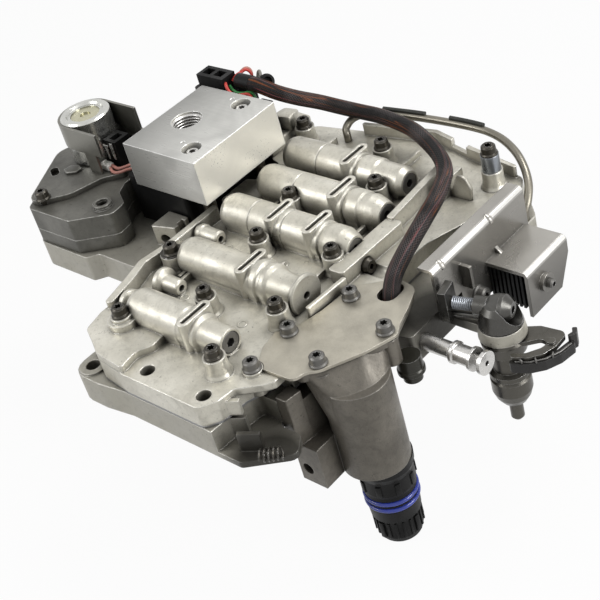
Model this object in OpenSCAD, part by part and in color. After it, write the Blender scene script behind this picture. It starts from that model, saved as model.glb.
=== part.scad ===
// Automatic transmission valve body, seen with its oil pan side up.
// The lower casting bolts to the gearbox case, and the case face is z = 0.
// X runs along the valve barrels, Y across them and Z away from the case.

/* [Castings] */
// Thickness of the transfer plate that lies on the case
plate_t = 20; // [16:0.5:26]
// Thickness of the steel separator sheet
sheet_t = 1.6; // [1:0.1:2.4]
// Thickness of the upper housing under its deck
deck_t = 14.4; // [11:0.2:20]
// Rise of the left lobe above the deck
lobe_rise = 5; // [2:0.5:8]
// Height of the screw bosses above the deck
boss_h = 12.5; // [8:0.5:18]
// Radius of the screw bosses
boss_r = 7; // [6.2:0.1:8]
// Height of the end walls above the deck
wall_h = 10; // [5:0.5:14]
// Radius of the holes for the case bolts
case_hole_r = 4.7; // [3.5:0.1:5.5]

/* [Valve barrels] */
// Outer radius of a barrel
barrel_r = 12.5; // [11.5:0.1:14]
// Height of the barrel axes above the deck
barrel_rise = 8; // [6:0.5:11]
// Radius of the valve bores
bore_r = 7; // [5.5:0.1:8]
// Length of a spool valve
spool_len = 40; // [30:1:46]
// Length of the threaded end plugs
plug_len = 9; // [6:0.5:12]
// Wire radius of the valve springs
spring_wire = 0.7; // [0.5:0.1:0.9]

/* [Screws] */
// Radius of a screw head
head_r = 4.7; // [4:0.1:5.2]
// Radius of the flange under the head
flange_r = 5.7; // [5.3:0.1:6.2]
// Height of a screw head with its flange
head_h = 6.6; // [5:0.2:8]
// Radius of a screw shank
shank_r = 2.9; // [2.4:0.1:3.2]
// Depth that a housing screw reaches into the transfer plate
screw_bite = 11; // [6:0.5:14]

/* [Filter block] */
// Length of the machined block along X
block_x = 70; // [60:1:78]
// Length of the machined block along Y
block_y = 79; // [70:1:88]
// Height of the machined block
block_h = 33; // [24:1:40]
// Radius of the port in the block
port_r = 11; // [7:0.5:14]
// Depth of the port
port_depth = 18; // [10:1:22]
// Height of the black base that carries the block
base_h = 36; // [30:1:42]

/* [Governor] */
// Height of the governor body with its base layer
governor_h = 28; // [22:1:32]
// Thickness of the governor base layer
governor_base_t = 11; // [7:0.5:14]
// Thickness of the solenoid retainer plate
retainer_t = 4; // [2.5:0.5:6]
// Radius of the solenoid can
can_r = 18.5; // [16:0.5:20]
// Height of the solenoid can
can_h = 35; // [28:1:40]
// Width of the solenoid strap
strap_w = 18; // [12:1:22]
// Thickness of the solenoid strap
strap_t = 1.8; // [1.2:0.1:2.4]

/* [Case connector] */
// Thickness of the cover plate
cover_t = 2; // [1.5:0.1:3]
// Radius of the connector tower
tower_r = 21.4; // [20:0.2:23]
// Drop of the tower below the case face
tower_drop = 43; // [35:1:60]
// Radius of the connector body
connector_r = 15.6; // [14:0.2:16.4]
// Length of the connector below the tower
connector_len = 63; // [60:1:70]
// Section radius of the connector seals
seal_r = 1.5; // [1.2:0.1:1.8]

/* [Adjusting bracket] */
// Thickness of the bracket sheet
bracket_t = 2.4; // [1.8:0.1:3]
// Height of the bracket's top fold above the deck
bracket_rise = 15; // [10:1:18]
// Reach of the spring box from the bracket plate
box_reach = 30; // [26:1:34]
// Length of the spring box along Y
box_len = 43; // [40:1:47]
// Radius of the regulator valve
regulator_r = 6; // [5:0.2:6.6]

/* [Selector] */
// Radius of the manual valve's lands
manual_r = 5.2; // [4.4:0.1:5.8]
// Radius of the manual valve's end flanges
manual_flange_r = 7.5; // [6.8:0.1:8]
// Distance from the selector shaft to its drive pin
drive_arm = 18; // [17:0.5:19]
// Radius of the drive pin
drive_pin_r = 2; // [1.6:0.1:2.2]
// Radius of the selector shaft's lower body
shaft_body_r = 12.4; // [10.5:0.1:13]
// Drop of the selector shaft below the case face
shaft_drop = 55; // [50:1:60]
// Height of the detent comb
comb_h = 6.5; // [5:0.5:7]

/* [Harness] */
// Outer diameter of the braided harness
harness_d = 11; // [9:0.5:12]
// Outer diameter of the steel boost tube
tube_d = 5.6; // [4.5:0.1:6.5]

/* [Hidden] */
$fn = 48;
// Running clearance of valves and shafts, clearance of loose pieces, and overlap of joined shapes
run_gap = 0.05;
free_gap = 0.3;
boss_flare = 1.6;
sink = 1;

// Levels
sheet_z = plate_t;
housing_z = plate_t + sheet_t;
deck_z = housing_z + deck_t;
boss_z = deck_z + boss_h;
axis_z = deck_z + barrel_rise;
pad_z = axis_z + barrel_r + 0.3;
screw_len = boss_z - plate_t + screw_bite;

// Outlines as [x, y, corner radius]
plate_outline = [
    [-66, -85, 11], [-40, -85, 8], [-18, -82.2, 8], [75, -82.2, 4], [101, -61, 6], [92, -48, 6], [74.5,
    -48, 4], [74.5, 25, 6], [112.8, 34, 4],
    [112.8, 165, 6], [96, 182, 10], [20, 194, 10], [-88, 180, 8], [-94, 157, 5], [-150, 157, 8], [-164,
    138, 10],
    [-222, 106, 14], [-238, 62, 12], [-203, 3, 8], [-152, 3, 3], [-146, 10.5, 2], [-104, 10.5, 6],
    [-72, 4, 8], [-63, -50, 8], [-66, -66, 6]];
housing_outline = [
    [-14, -82, 2], [52, -82, 7], [58.5, -72, 5], [60, -60, 4], [74, -49, 3], [78, -44, 3], [78, 20, 4],
    [84, 50, 6], [80, 60, 4], [80, 96, 8], [104, 163, 6], [97, 179, 8], [52, 188, 6], [17, 197, 8],
    [-86, 180, 8], [-86, 134, 3], [-76, 131, 3], [-76, 110, 3], [-86, 107, 3], [-86, 80, 5],
    [-74, 76, 4], [-74, 14, 5], [-77, -4, 8], [-72, -20, 10], [-66, -50, 8],
    [-62, -66, 6], [-50, -72, 3], [-38, -79, 8]];
lobe_outline = [
    [-66, -50, 8], [-62, -66, 6], [-50, -72, 3], [-38, -79, 8], [-12.5, -81.5, 2], [-15, -67, 8], [-9,
    -58, 6],
    [-10, -42, 4], [-12, -24, 3], [-66, -22, 6]];
rim_outline = [
    [-65, -46, 2], [-71.5, -20, 9], [-76.4, -4, 7], [-73.5, 14, 4], [-73.5, 64, 2], [-68.5, 64, 2],
    [-68.5, 16, 4],
    [-71, -3, 4], [-66, -18, 8], [-60, -43, 2]];
front_rib = [[58.2, 8, 1], [60.9, 8, 1], [63.3, 41, 1], [60.3, 41, 1]];
end_wall = [[49, 41, 2], [60.5, 41, 3], [62, 99, 2], [50, 99, 3]];
back_wall = [[51, 97, 1], [56, 97, 1], [51, 157, 2], [46, 157, 2]];
cover_outline = [
    [53, -27, 4], [50, -12, 4], [59.5, 0, 3], [63.3, 15, 3], [66, 42, 5], [88, 59.5, 8], [103, 56.5,
    9], [110, 40, 16],
    [114.5, 26, 6], [119, 18, 5], [111, -3, 20], [97, -27, 14], [91, -31, 8], [89, -40, 6], [72, -40.5,
    8], [62, -41, 6]];
tower_flange = [
    [79.3, -34, 2], [79.3, 24, 4], [88.5, 57, 4], [101, 57, 7], [108, 40, 14], [113, 26, 6], [117, 18,
    5], [109, -3, 20],
    [95.5, -26, 14], [89, -34, 4]];
governor_outline = [
    [-203, 4, 5], [-160, 5, 4], [-134.5, 25, 6], [-136, 38, 6], [-150, 46, 4], [-155, 56, 3], [-157,
    100, 6],
    [-221, 104, 12], [-237, 62, 10]];
retainer_outline = [
    [-203, 4, 8], [-180, 26, 16], [-172, 50, 6], [-160, 62, 5], [-166, 98, 8], [-219, 102, 12], [-236,
    62, 12]];

// Places of the pieces in plan
case_holes = [[-0.6, -72], [47.4, -72]];
ear_hole = [-55, -75];
ear_r = 9;
boss_screws = [
    [-75, 162], [-24, 89], [-13, 45], [44, 52], [23, 122], [-2, 160], [-3.5, -14], [47, -3.5], [-42,
    -51], [42, -53]];
washer_screw = [-58, 10];
spacer_screw = [84, 165];
spacer_z = deck_z + 24;
cover_housing_screws = [[58.6, -8.7], [72, 33]];
edge_screw = [60, -43];
edge_boss_r = 6.4;
cover_tower_screws = [[93, -22], [111, 17]];
tower_axis = [103.5, -8];
connector_axis = [105.8, -5.6];
harness_hole = [91, 47];
hole_len = harness_d + 7;
hole_w = harness_d + 2;
solenoid_axis = [-201, 74];
block_place = [-133, 51.5];
selector_axis = [152.5, 68];
manual_y = selector_axis[1] - drive_arm - manual_flange_r - drive_pin_r + 3.5;
manual_z = plate_t / 2;
regulator_axis = [122, 9];
bracket_x = 113;

// Barrels as [y, left end, right end, bore start, pads, outline as [x, change of radius]]
barrels = [
    [137, -66, 38, -36, [-6.6], [
        [-34, 0], [-33.4, -0.7], [-32.6, 0], [-0.6, 0], [0, -1.6], [1, -1.1], [3, -0.4], [14, -0.5],
        [16, -1.6], [34, -1.9]]],
    [103, -60, 46, -30, [10.7], [
        [-26, 0], [-25.4, -0.7], [-24.6, 0], [17, 0], [17.6, -1.6], [19, -1], [21, -0.4], [29, -0.5],
        [30, -1.5], [32, -1.2],
        [36, -0.9], [41, -2.2]]],
    [66.5, -60, 50, -28, [-11.7, 21.2], [
        [-33, 0], [-32.4, -0.7], [-31.6, 0], [-4, 0], [-3.4, -0.8], [-2.6, 0], [27.6, 0], [28.2, -1.4],
        [30, -0.8], [33, -0.4],
        [42, -0.6], [46, -2]]],
    [17.5, -52, 49, -24, [8.3], [
        [14, 0], [15, 1], [19, 1], [20, -0.6], [22, -0.8], [23, 0.5], [26, 0.5], [28, -1.4], [36,
        -2.6], [45, -2.8]]],
    [-36, -44, 38, -38, [11.2], [[3, 0], [4, -0.9], [17, -0.9], [18.5, -3.2], [35, -3.4]]]];
slot_w = 3.2;
slot_len = 21;
pad_w = 7.6;
pad_len = 26;

module at(p, z = 0) translate([p[0], p[1], z]) children();
module along_x(y, z, x = 0) translate([x, y, z]) rotate([0, 90, 0]) children();

// Rounded outlines
function unit(v) = v / norm(v);
function plan(p) = [p[0], p[1]];
function corner(p, q, s, r, n = 4) =
    let (a = unit(p - q), b = unit(s - q), half = acos(a * b) / 2)
    let (c = q + unit(a + b) * r / sin(half), f = q + a * r / tan(half) - c,
        g = q + b * r / tan(half) - c)
    let (start = atan2(f[1], f[0]), d = atan2(g[1], g[0]) - start)
    let (turn = d > 180 ? d - 360 : d < -180 ? d + 360 : d)
    [for (i = [0:n]) c + r * [cos(start + turn * i / n), sin(start + turn * i / n)]];
function rounded(pts) =
    [for (i = [0:len(pts) - 1])
        let (k = len(pts))
        each corner(plan(pts[(i + k - 1) % k]), plan(pts[i]), plan(pts[(i + 1) % k]), pts[i][2])];
module slab(outline, z, h) translate([0, 0, z]) linear_extrude(h) polygon(rounded(outline));
module stadium(l, w, h) linear_extrude(h)
    polygon(rounded([for (s = [[-1, -1], [1, -1], [1, 1], [-1, 1]]) [s[0] * w / 2, s[1] * l / 2,
        w * 0.48]]));

// Tubes swept along a list of points
function heading(path, i) =
    unit(path[min(i + 1, len(path) - 1)] - path[max(i - 1, 0)]);
function side_of(t) = unit(cross(t, abs(t[2]) > 0.9 ? [1, 0, 0] : [0, 0, 1]));
module sweep(path, r, sides = 10) {
    rings = [for (i = [0:len(path) - 1])
        let (t = heading(path, i), a = side_of(t), b = cross(t, a))
        [for (k = [0:sides - 1]) path[i] + r * (a * cos(360 * k / sides) + b * sin(360 * k / sides))]];
    last = len(path) - 1;
    polyhedron(
        points = [for (ring = rings) each ring],
        faces = concat(
            [[for (k = [0:sides - 1]) k]],
            [for (i = [0:last - 1], k = [0:sides - 1])
                let (a = i * sides + k, b = i * sides + (k + 1) % sides)
                each [[a, a + sides, b + sides], [a, b + sides, b]]],
            [[for (k = [sides - 1:-1:0]) last * sides + k]]));
}
function coil(r, len, turns, steps) =
    [for (i = [0:turns * steps]) [r * cos(360 * i / steps), r * sin(360 * i / steps),
    len * i / (turns * steps)]];

// Screws with a six-lobed recess
lobe_r = head_r * 0.4;
washer_r = flange_r + 2;
recess_depth = head_h * 0.45;
module recess() linear_extrude(recess_depth + sink) {
    circle(lobe_r);
    for (a = [0:60:300]) rotate(a) translate([lobe_r, 0]) circle(lobe_r * 0.36, $fn = 16);
}
module screw(len) {
    difference() {
        rotate_extrude() polygon([
            [0, -len], [shank_r - 0.6, -len], [shank_r, -len + 1.5], [shank_r, 0], [flange_r, 0],
            [flange_r, 1],
            [head_r + 0.3, 1.8], [head_r, head_h - 0.9], [head_r - 0.9, head_h], [0, head_h]]);
        translate([0, 0, head_h - recess_depth]) recess();
    }
}
module screw_hole(z, depth) translate([0, 0, z - depth]) cylinder(r = shank_r + free_gap,
    h = depth + sink);

// Transfer plate
channels = [
    [-40, 60, 70, 20], [-15, 30, 90, -15], [20, 95, 70, 10], [44, 110, 80, -8], [30, -10, 60, 35],
    [-45, 130, 60, -30],
    [-20, -45, 50, 70], [72, 80, 40, 25], [-115, 50, 60, 60], [-175, 60, 70, 15], [25, 150, 60, 60]];
channel_w = 9;
channel_depth = 8;
// Open corner beside the second case hole, with its floor and its webs as [x, y, length, angle, top]
corner_floor = 4;
corner_pocket = [[56, -95, 1], [125, -95, 1], [125, -45, 1], [60, -45, 3], [58, -62, 3]];
corner_webs = [[54, -70, 14, 29, 19], [69, -75, 14, 30, 17]];
web_t = 3;
// Block on the plate in front of the black base
side_block = [[-113, 37, 1], [-94, 42, 1], [-94, 55.5, 1], [-113, 55.5, 1]];
side_block_h = 15.5;
// Arm and boss that carry the selector shaft
arm_z = [13, plate_t];
arm_y = [61, 75];
arm_boss_r = 14.5;
arm_boss_z = plate_t + 0.4;
spindle_r = 6;
module corner_web(w, z) translate([w[0], w[1], z]) rotate(w[3]) cube([w[2], web_t, w[4] - z]);
module transfer_plate() color("gainsboro") difference() {
    union() {
        difference() {
            slab(plate_outline, 0, plate_t);
            slab(corner_pocket, corner_floor, plate_t);
        }
        for (w = corner_webs) corner_web(w, corner_floor - sink);
        at(ear_hole, plate_t - sink) cylinder(r = ear_r, h = sink + sheet_t - 0.2);
        translate([100, arm_y[0], arm_z[0]]) cube([selector_axis[0] - 100, arm_y[1] - arm_y[0],
            arm_z[1] - 0.6 - arm_z[0]]);
        at(selector_axis, arm_z[0] - 0.2) rotate_extrude() polygon([
            [0, 0], [arm_boss_r, 0], [arm_boss_r, 1.4], [arm_boss_r - 1, arm_boss_z - arm_z[0] + 0.2],
            [0, arm_boss_z - arm_z[0] + 0.2]]);
        difference() {
            slab(side_block, plate_t - sink, side_block_h + sink);
            translate([-104, 34, plate_t + 5]) rotate([-90, 0, 0]) cylinder(r = 4, h = 14);
            translate([-97, 46, plate_t + 9]) cube([8, 6, 12]);
        }
    }
    at(selector_axis, 0) cylinder(r = spindle_r + run_gap, h = 40);
    for (p = concat(case_holes, [ear_hole])) at(p, -sink) cylinder(r = case_hole_r, h = plate_t + 4);
    for (p = concat(boss_screws, [washer_screw])) at(p) screw_hole(plate_t, screw_bite + 1.5);
    for (c = channels) translate([c[0], c[1], -sink]) rotate(c[3]) stadium(c[2], channel_w,
        channel_depth + sink);
    along_x(manual_y, manual_z, 30) cylinder(r = manual_r + run_gap, h = 90);
    along_x(regulator_axis[0], regulator_axis[1], 58) cylinder(r = regulator_r + run_gap, h = 60);
    along_x(bracket_hole_y, plate_t / 2, bracket_x - 10) cylinder(r = shank_r + free_gap, h = 12);
}

// Separator sheet
housing_pocket = [[57.5, -95, 1], [125, -95, 1], [125, -30, 1], [68, -33, 2], [60, -54, 3]];
lip_t = 5;
module separator_plate() color("lightslategray") difference() {
    slab(housing_outline, sheet_z, sheet_t);
    slab(housing_pocket, sheet_z - sink, sheet_t + 2 * sink);
    for (p = case_holes) at(p, sheet_z - sink) cylinder(r = case_hole_r, h = sheet_t + 2 * sink);
    at(ear_hole, sheet_z - sink) cylinder(r = ear_r + free_gap, h = sheet_t + 2 * sink);
    for (p = concat(boss_screws, [washer_screw])) at(p) screw_hole(sheet_z + sheet_t, sheet_t + sink);
}

// Upper housing
module barrel_body(b) {
    steps = concat([[b[1] + 5, 0]], b[5]);
    last = len(steps) - 1;
    along_x(b[0], axis_z) rotate_extrude() polygon(concat(
        [[0, b[1]], [barrel_r - 4, b[1]], [barrel_r - 1.2, b[1] + 1.6]],
        [for (p = steps) [barrel_r + p[1], p[0]]],
        [[barrel_r - 4, b[2]], [0, b[2]]]));
    translate([0, b[0], deck_z - 3]) linear_extrude(barrel_rise + 3) polygon(concat(
        [for (p = steps) [p[0], barrel_r + p[1] - 0.9]],
        [for (i = [last:-1:0]) [steps[i][0], 0.9 - barrel_r - steps[i][1]]]));
    for (x = b[4]) translate([x, b[0], deck_z - 1.5]) stadium(pad_len, pad_w, pad_z - deck_z + 1.5);
}
module barrel_cuts(b) {
    along_x(b[0], axis_z, b[3]) cylinder(r = bore_r, h = b[2] - b[3] + sink);
    for (x = b[4]) translate([x, b[0], pad_z - 2.6]) stadium(slot_len, slot_w, 8);
}
ribs = [
    [-50, 118, 124], [-22, 116, 126], [-40, 80, 92], [34, 79, 92], [-46, 0, 6], [39, 28, 56], [-42, -2,
    10], [-30, 24, 38],
    [10, 28, 40], [-30, 148, 166], [14, 150, 176], [-54, 150, 168]];
rib_h = 4.5;
rib_t = 2.4;
// Stubs with a ring as [y, left end, right end, ring radius]
stubs = [[-8, -54, -34, 9.5], [42, -67, -47, 6.5], [-33, -60, -40, 8.5]];
stub_r = 5.4;
stub_z = deck_z + 4;
wall_plug_at = [62, deck_z + wall_h / 2 - 3];
wall_face = 60.2;
module boss(p, r) at(p, deck_z) rotate_extrude() polygon([
    [0, -5], [r + boss_flare, -5], [r + boss_flare, 0.6], [r + 0.5, 2.6], [r, 6], [r, boss_h], [0,
    boss_h]]);
module ringed_stub(s) along_x(s[0], stub_z, s[1]) rotate_extrude() polygon([
    [0, 0], [stub_r, 0], [s[3] - 0.8, 1.5], [s[3], 2.4], [s[3], 5], [s[3] - 0.8, 5.8], [stub_r + 0.4, 7],
    [stub_r, s[2] - s[1] - 1], [stub_r - 1, s[2] - s[1]], [0, s[2] - s[1]]]);
// Wall under the boost tube, with its two low stretches as [x, length]
back_rail = [
    [-40, 183.2, 1], [17, 192.8, 2], [51.5, 184, 2], [92, 176.5, 1], [93, 179, 1], [52, 187.2, 2], [17,
    196.2, 2], [-40, 186.4, 1]];
rail_gaps = [[34, 15], [62, 9]];
module housing_solids() {
    difference() {
        slab(housing_outline, housing_z, deck_t);
        slab(housing_pocket, housing_z - sink, deck_t - lip_t + sink);
    }
    at(edge_screw, housing_z) cylinder(r = edge_boss_r, h = deck_t + cover_t);
    corner_web([54.5, -70, 13, 29, deck_z - lip_t + sink], housing_z);
    slab(lobe_outline, deck_z - 4, lobe_rise + 4);
    slab(rim_outline, deck_z - 3, wall_h + 3);
    slab(front_rib, deck_z - 3, wall_h + 1);
    slab(end_wall, deck_z - 2.5, wall_h + 2.5);
    slab(back_wall, deck_z - 3.5, wall_h + 5.5);
    for (b = barrels) barrel_body(b);
    for (p = boss_screws) boss(p, boss_r);
    at(boss_screws[8], deck_z - 4.5) cylinder(r = boss_r + 2.6, h = boss_h + 2);
    boss(washer_screw, boss_r + 1);
    boss(spacer_screw, boss_r);
    for (r = ribs) translate([r[0], r[1], deck_z - 2]) cube([rib_t, r[2] - r[1], rib_h + 2]);
    for (s = stubs) ringed_stub(s);
    translate([60, 138, deck_z - 3]) cube([4, 22, wall_h + 5]);
    difference() {
        slab(back_rail, deck_z - 2.8, wall_h + 1.3);
        for (g = rail_gaps) translate([g[0], 170, deck_z + 3.2]) cube([g[1], 30, wall_h]);
    }
}
module upper_housing() color("lightgray") difference() {
    housing_solids();
    for (b = barrels) barrel_cuts(b);
    for (p = case_holes) at(p, housing_z - sink) cylinder(r = case_hole_r, h = deck_t + 12);
    for (p = concat(boss_screws, [washer_screw])) at(p) screw_hole(boss_z, boss_z - housing_z + sink);
    at(spacer_screw) screw_hole(boss_z, boss_h + deck_t - 4);
    for (p = boss_screws) at(p, boss_z) cylinder(r = flange_r + free_gap, h = head_h + 10);
    at(cover_housing_screws[0], deck_z + 1) cylinder(r = flange_r + free_gap, h = 12);
    at(washer_screw, boss_z) cylinder(r = washer_r + free_gap, h = head_h + 10);
    for (p = concat(cover_housing_screws, [edge_screw])) at(p) screw_hole(deck_z + cover_t,
        deck_t + cover_t - 3);
    for (s = [stubs[0], stubs[1]]) along_x(s[0], stub_z, s[2] - 6) cylinder(r = 2.2, h = 7);
    along_x(wall_plug_at[0], wall_plug_at[1], wall_face - 11) cylinder(r = 3 + free_gap, h = 12);
    along_x(wall_plug_at[0], wall_plug_at[1], wall_face) cylinder(r = 5.4 + free_gap, h = 16);
}

// Spool valves, their springs and their end plugs
spring_r = bore_r - spring_wire - 1;
function plug_x(b) = b[2] - plug_len;
module spool(b) color("silver") along_x(b[0], axis_z, b[3] + free_gap) {
    land = bore_r - run_gap;
    neck = bore_r * 0.62;
    third = spool_len / 3;
    rotate_extrude() polygon([
        [0, 0], [land - 0.5, 0], [land, 0.5], [land, third * 0.6], [neck, third * 0.7], [neck,
        third * 1.2],
        [land, third * 1.3], [land, third * 1.9], [neck, third * 2], [neck, third * 2.4], [land,
        third * 2.5],
        [land, spool_len - 0.5], [land - 0.5, spool_len], [0, spool_len]]);
}
module spool_spring(b) color("dimgray") {
    start = b[3] + free_gap + spool_len + spring_wire + free_gap;
    length = plug_x(b) - start - spring_wire - free_gap;
    along_x(b[0], axis_z, start) sweep(coil(spring_r, length, 5, 8), spring_wire, 6);
}
module end_plug(b) color("slategray") along_x(b[0], axis_z, plug_x(b)) difference() {
    rotate_extrude() polygon([
        [0, 0], [bore_r - run_gap - 0.6, 0], [bore_r - run_gap, 0.6], [bore_r - run_gap, plug_len - 0.6],
        [bore_r - run_gap - 0.6, plug_len], [0, plug_len]]);
    translate([0, 0, plug_len - 4]) cylinder(r = bore_r * 0.45, h = 4 + sink, $fn = 6);
}
module shift_valve_1() spool(barrels[0]);
module shift_valve_2() spool(barrels[1]);
module shift_valve_3() spool(barrels[2]);
module shift_valve_4() spool(barrels[3]);
module shift_valve_5() spool(barrels[4]);
module valve_spring_1() spool_spring(barrels[0]);
module valve_spring_2() spool_spring(barrels[1]);
module valve_spring_3() spool_spring(barrels[2]);
module valve_spring_4() spool_spring(barrels[3]);
module valve_spring_5() spool_spring(barrels[4]);
module end_plugs() for (b = barrels) end_plug(b);
module end_disc() color("dimgray") difference() {
    along_x(barrels[3][0], axis_z, barrels[3][2]) rotate_extrude() polygon([
        [2.6, 0], [barrel_r + 1, 0], [barrel_r + 1, 1.6], [barrel_r, 2.6], [2.6, 2.6]]);
    translate([barrels[3][2] - sink, barrels[3][0] - 20, deck_z - 10]) cube([6, 40, 10 + free_gap]);
}

// Fasteners of the housing and the cover
module housing_screws() color("darkslategray") for (p = boss_screws) at(p, boss_z) screw(screw_len);
module washer_bolt() color("darkslategray") at(washer_screw, boss_z) {
    screw(screw_len);
    difference() {
        cylinder(r = washer_r, h = 0.9);
        translate([0, 0, -sink]) cylinder(r = shank_r - 0.5, h = 4);
    }
}
module spacer_bolt() color("darkslategray") at(spacer_screw, spacer_z) screw(spacer_z - deck_z + 6);
module spacer_sleeve() color("gray") at(spacer_screw, boss_z) difference() {
    cylinder(r = boss_r - 1, h = spacer_z - boss_z);
    translate([0, 0, -sink]) cylinder(r = shank_r + free_gap, h = spacer_z - boss_z + 2 * sink);
}
module cover_screws() color("gray") for (p = concat(cover_housing_screws, cover_tower_screws,
    [edge_screw]))
    at(p, deck_z + cover_t) screw(cover_t + deck_t - 5.5);
module wall_plug() color("dimgray") along_x(wall_plug_at[0], wall_plug_at[1], wall_face) difference() {
    rotate_extrude() polygon([[0, -9], [3, -9], [3, 0], [5.4, 0], [5.4, 2.6], [4.2, 4.6], [0, 4.6]]);
    translate([0, 0, 1.6]) cylinder(r = 2, h = 4, $fn = 6);
}

// Cover plate
module cover_plate() color("tan") difference() {
    slab(cover_outline, deck_z, cover_t);
    for (p = concat(cover_housing_screws, cover_tower_screws)) at(p) screw_hole(deck_z + cover_t,
        cover_t + sink);
    at(harness_hole, deck_z - sink) stadium(hole_len, hole_w, cover_t + 2 * sink);
    at(edge_screw, deck_z - sink) cylinder(r = edge_boss_r + free_gap, h = cover_t + 2 * sink);
    at(boss_screws[7], deck_z - sink) cylinder(r = boss_r + boss_flare + free_gap,
        h = cover_t + 2 * sink);
}

// Connector tower with its flange, and the connector
tower_bore = connector_r + 1.4;
tower_bore_depth = 38;
lug_size = [19, 27, 30.6];
lug_place = [76, -44, 0.4 - tower_drop];
// Two blocks above the lug, as [outline, low, top]
lug_blocks = [
    [[[75.4, -34, 0.5], [75.4, -45.6, 0.5], [83.5, -45.6, 1.5], [85.4, -34, 0.5]], -14, 24],
    [[[75.6, -20, 0.5], [75.6, -36, 0.5], [85, -36, 0.5], [86.4, -20, 0.5]], -24, 17]];
cap_place = [116.5, 24.5];
cap_top = 16;
flange_drop = 5;
module connector_tower() color("rosybrown") difference() {
    union() {
        slab(tower_flange, deck_z - flange_drop, flange_drop);
        at(tower_axis, -tower_drop) cylinder(r = tower_r, h = tower_drop + deck_z - 14);
        hull() {
            at(tower_axis, deck_z - 40) cylinder(r = tower_r - 0.4, h = 20, $fn = 48);
            slab([[84, -30, 3], [84, 20, 3], [108, 20, 5], [109, -3, 10], [95, -26, 8], [89, -32, 3]],
                deck_z - 3, 2);
        }
        translate(lug_place) cube(lug_size);
        for (b = lug_blocks) slab(b[0], b[1], b[2] - b[1]);
        at(cover_tower_screws[0], deck_z - 16) rotate_extrude() polygon([
            [0, 0], [3, 0], [5.4, 1.4], [6.6, 4], [6.6, 13], [0, 13]]);
        at(cover_tower_screws[1], cap_top) cylinder(r = 6, h = deck_z - cap_top - 2);
    }
    at(connector_axis, -tower_drop - sink) cylinder(r = tower_bore, h = tower_bore_depth + sink);
    at(harness_hole, deck_z - flange_drop - sink) stadium(hole_len, hole_w, flange_drop + 2 * sink);
    for (p = cover_tower_screws) at(p) screw_hole(deck_z, deck_t - 3);
    translate(lug_place + [7, -sink, 11]) rotate([-90, 0, 0]) cylinder(r = 4, h = 12);
}
module tower_cap() color("black") at(cap_place, cap_top) rotate_extrude() polygon([
    [0, -18], [5.4, -18], [6, -17.4], [6, -12], [8, -12], [8.5, -11.5], [8.5, -9], [7.8, -8], [7.4, 0],
    [0, 0]]);
seal_z = [-27, -32.4];
module case_connector() color("black") at(connector_axis, -tower_drop) difference() {
    rotate_extrude() polygon(concat(
        [[0, 10], [tower_bore - run_gap, 10], [tower_bore - run_gap, 0], [tower_r - 2.6, -0.05],
        [tower_r - 2.8, -5],
            [connector_r + 1.6, -9], [connector_r + 1.6, -20], [connector_r + 1, -22]],
        [for (z = seal_z) each [
            [connector_r + 1, z + 2.2], [connector_r - 1, z + 2.1], [connector_r - 1, z - 2.1],
            [connector_r + 1, z - 2.2]]],
        [[connector_r + 0.4, -44], [connector_r - 0.7, -45], [connector_r - 0.7, -connector_len + 4],
            [connector_r - 2, -connector_len], [0, -connector_len]]));
    translate([0, 0, -connector_len - sink]) cylinder(r = connector_r - 4, h = 14 + sink);
}
module connector_seals() color("royalblue") at(connector_axis, -tower_drop)
    for (z = seal_z) translate([0, 0,
        z]) rotate_extrude() translate([connector_r - 1 + seal_r + run_gap, 0]) circle(seal_r);

// Machined block on its black base
block_z = plate_t + base_h;
block_holes = [[block_x - 16, 14], [block_x - 22, block_y - 10]];
module filter_block() color("whitesmoke") translate([block_place[0], block_place[1],
    block_z]) difference() {
    cube([block_x, block_y, block_h]);
    translate([block_x * 0.34, block_y * 0.5, block_h - port_depth]) cylinder(r = port_r,
        h = port_depth + sink);
    for (p = block_holes) {
        at(p, -sink) cylinder(r = shank_r + free_gap, h = block_h + 2 * sink);
        at(p, block_h - 9) cylinder(r = 7, h = 9 + sink);
        at(p + [-11, 3], block_h - 0.6) cylinder(r = 1.6, h = 2);
    }
}
module block_screws() color("silver") translate([block_place[0], block_place[1], block_z])
    for (p = block_holes) at(p, block_h - 9) screw(block_h - 9 + 14);
base_outline = [[-150, 57, 3], [-93, 57, 4], [-93, 130, 3], [-98, 152, 5], [-146, 152, 5], [-150, 128,
    3]];
base_tower = [[-149, 134, 3], [-100, 134, 3], [-98, 151, 4], [-146, 151, 4]];
base_tower_h = 26;
module solenoid_base() color("black") {
    slab(base_outline, plate_t, base_h);
    slab(base_tower, block_z - 4, base_tower_h + 4);
}
post_r = 4.6;
module block_posts() color("dimgray") for (p = block_holes) at(block_place + p, plate_t) difference() {
    cylinder(r = post_r, h = base_h);
    translate([0, 0, base_h - 16]) cylinder(r = shank_r + free_gap, h = 17);
}
plug_z = block_z + base_tower_h;
harness_start = [-98, 146, plug_z + harness_d / 2 + 0.5];
module harness_plug_a() color("black") translate([-143, 136, plug_z]) difference() {
    cube([26, 13, 11]);
    for (x = [3, 14]) translate([x, 3, 6]) cube([8, 7, 6]);
}
plug_b_len = 13;
module harness_plug_b() color("black") {
    along_x(harness_start[1], harness_start[2],
        harness_start[0] - plug_b_len) cylinder(r = harness_d / 2, h = plug_b_len);
    translate([harness_start[0] - plug_b_len + 1, harness_start[1] - 3.5,
        plug_z]) cube([plug_b_len - 2, 7, 4]);
}

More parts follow.
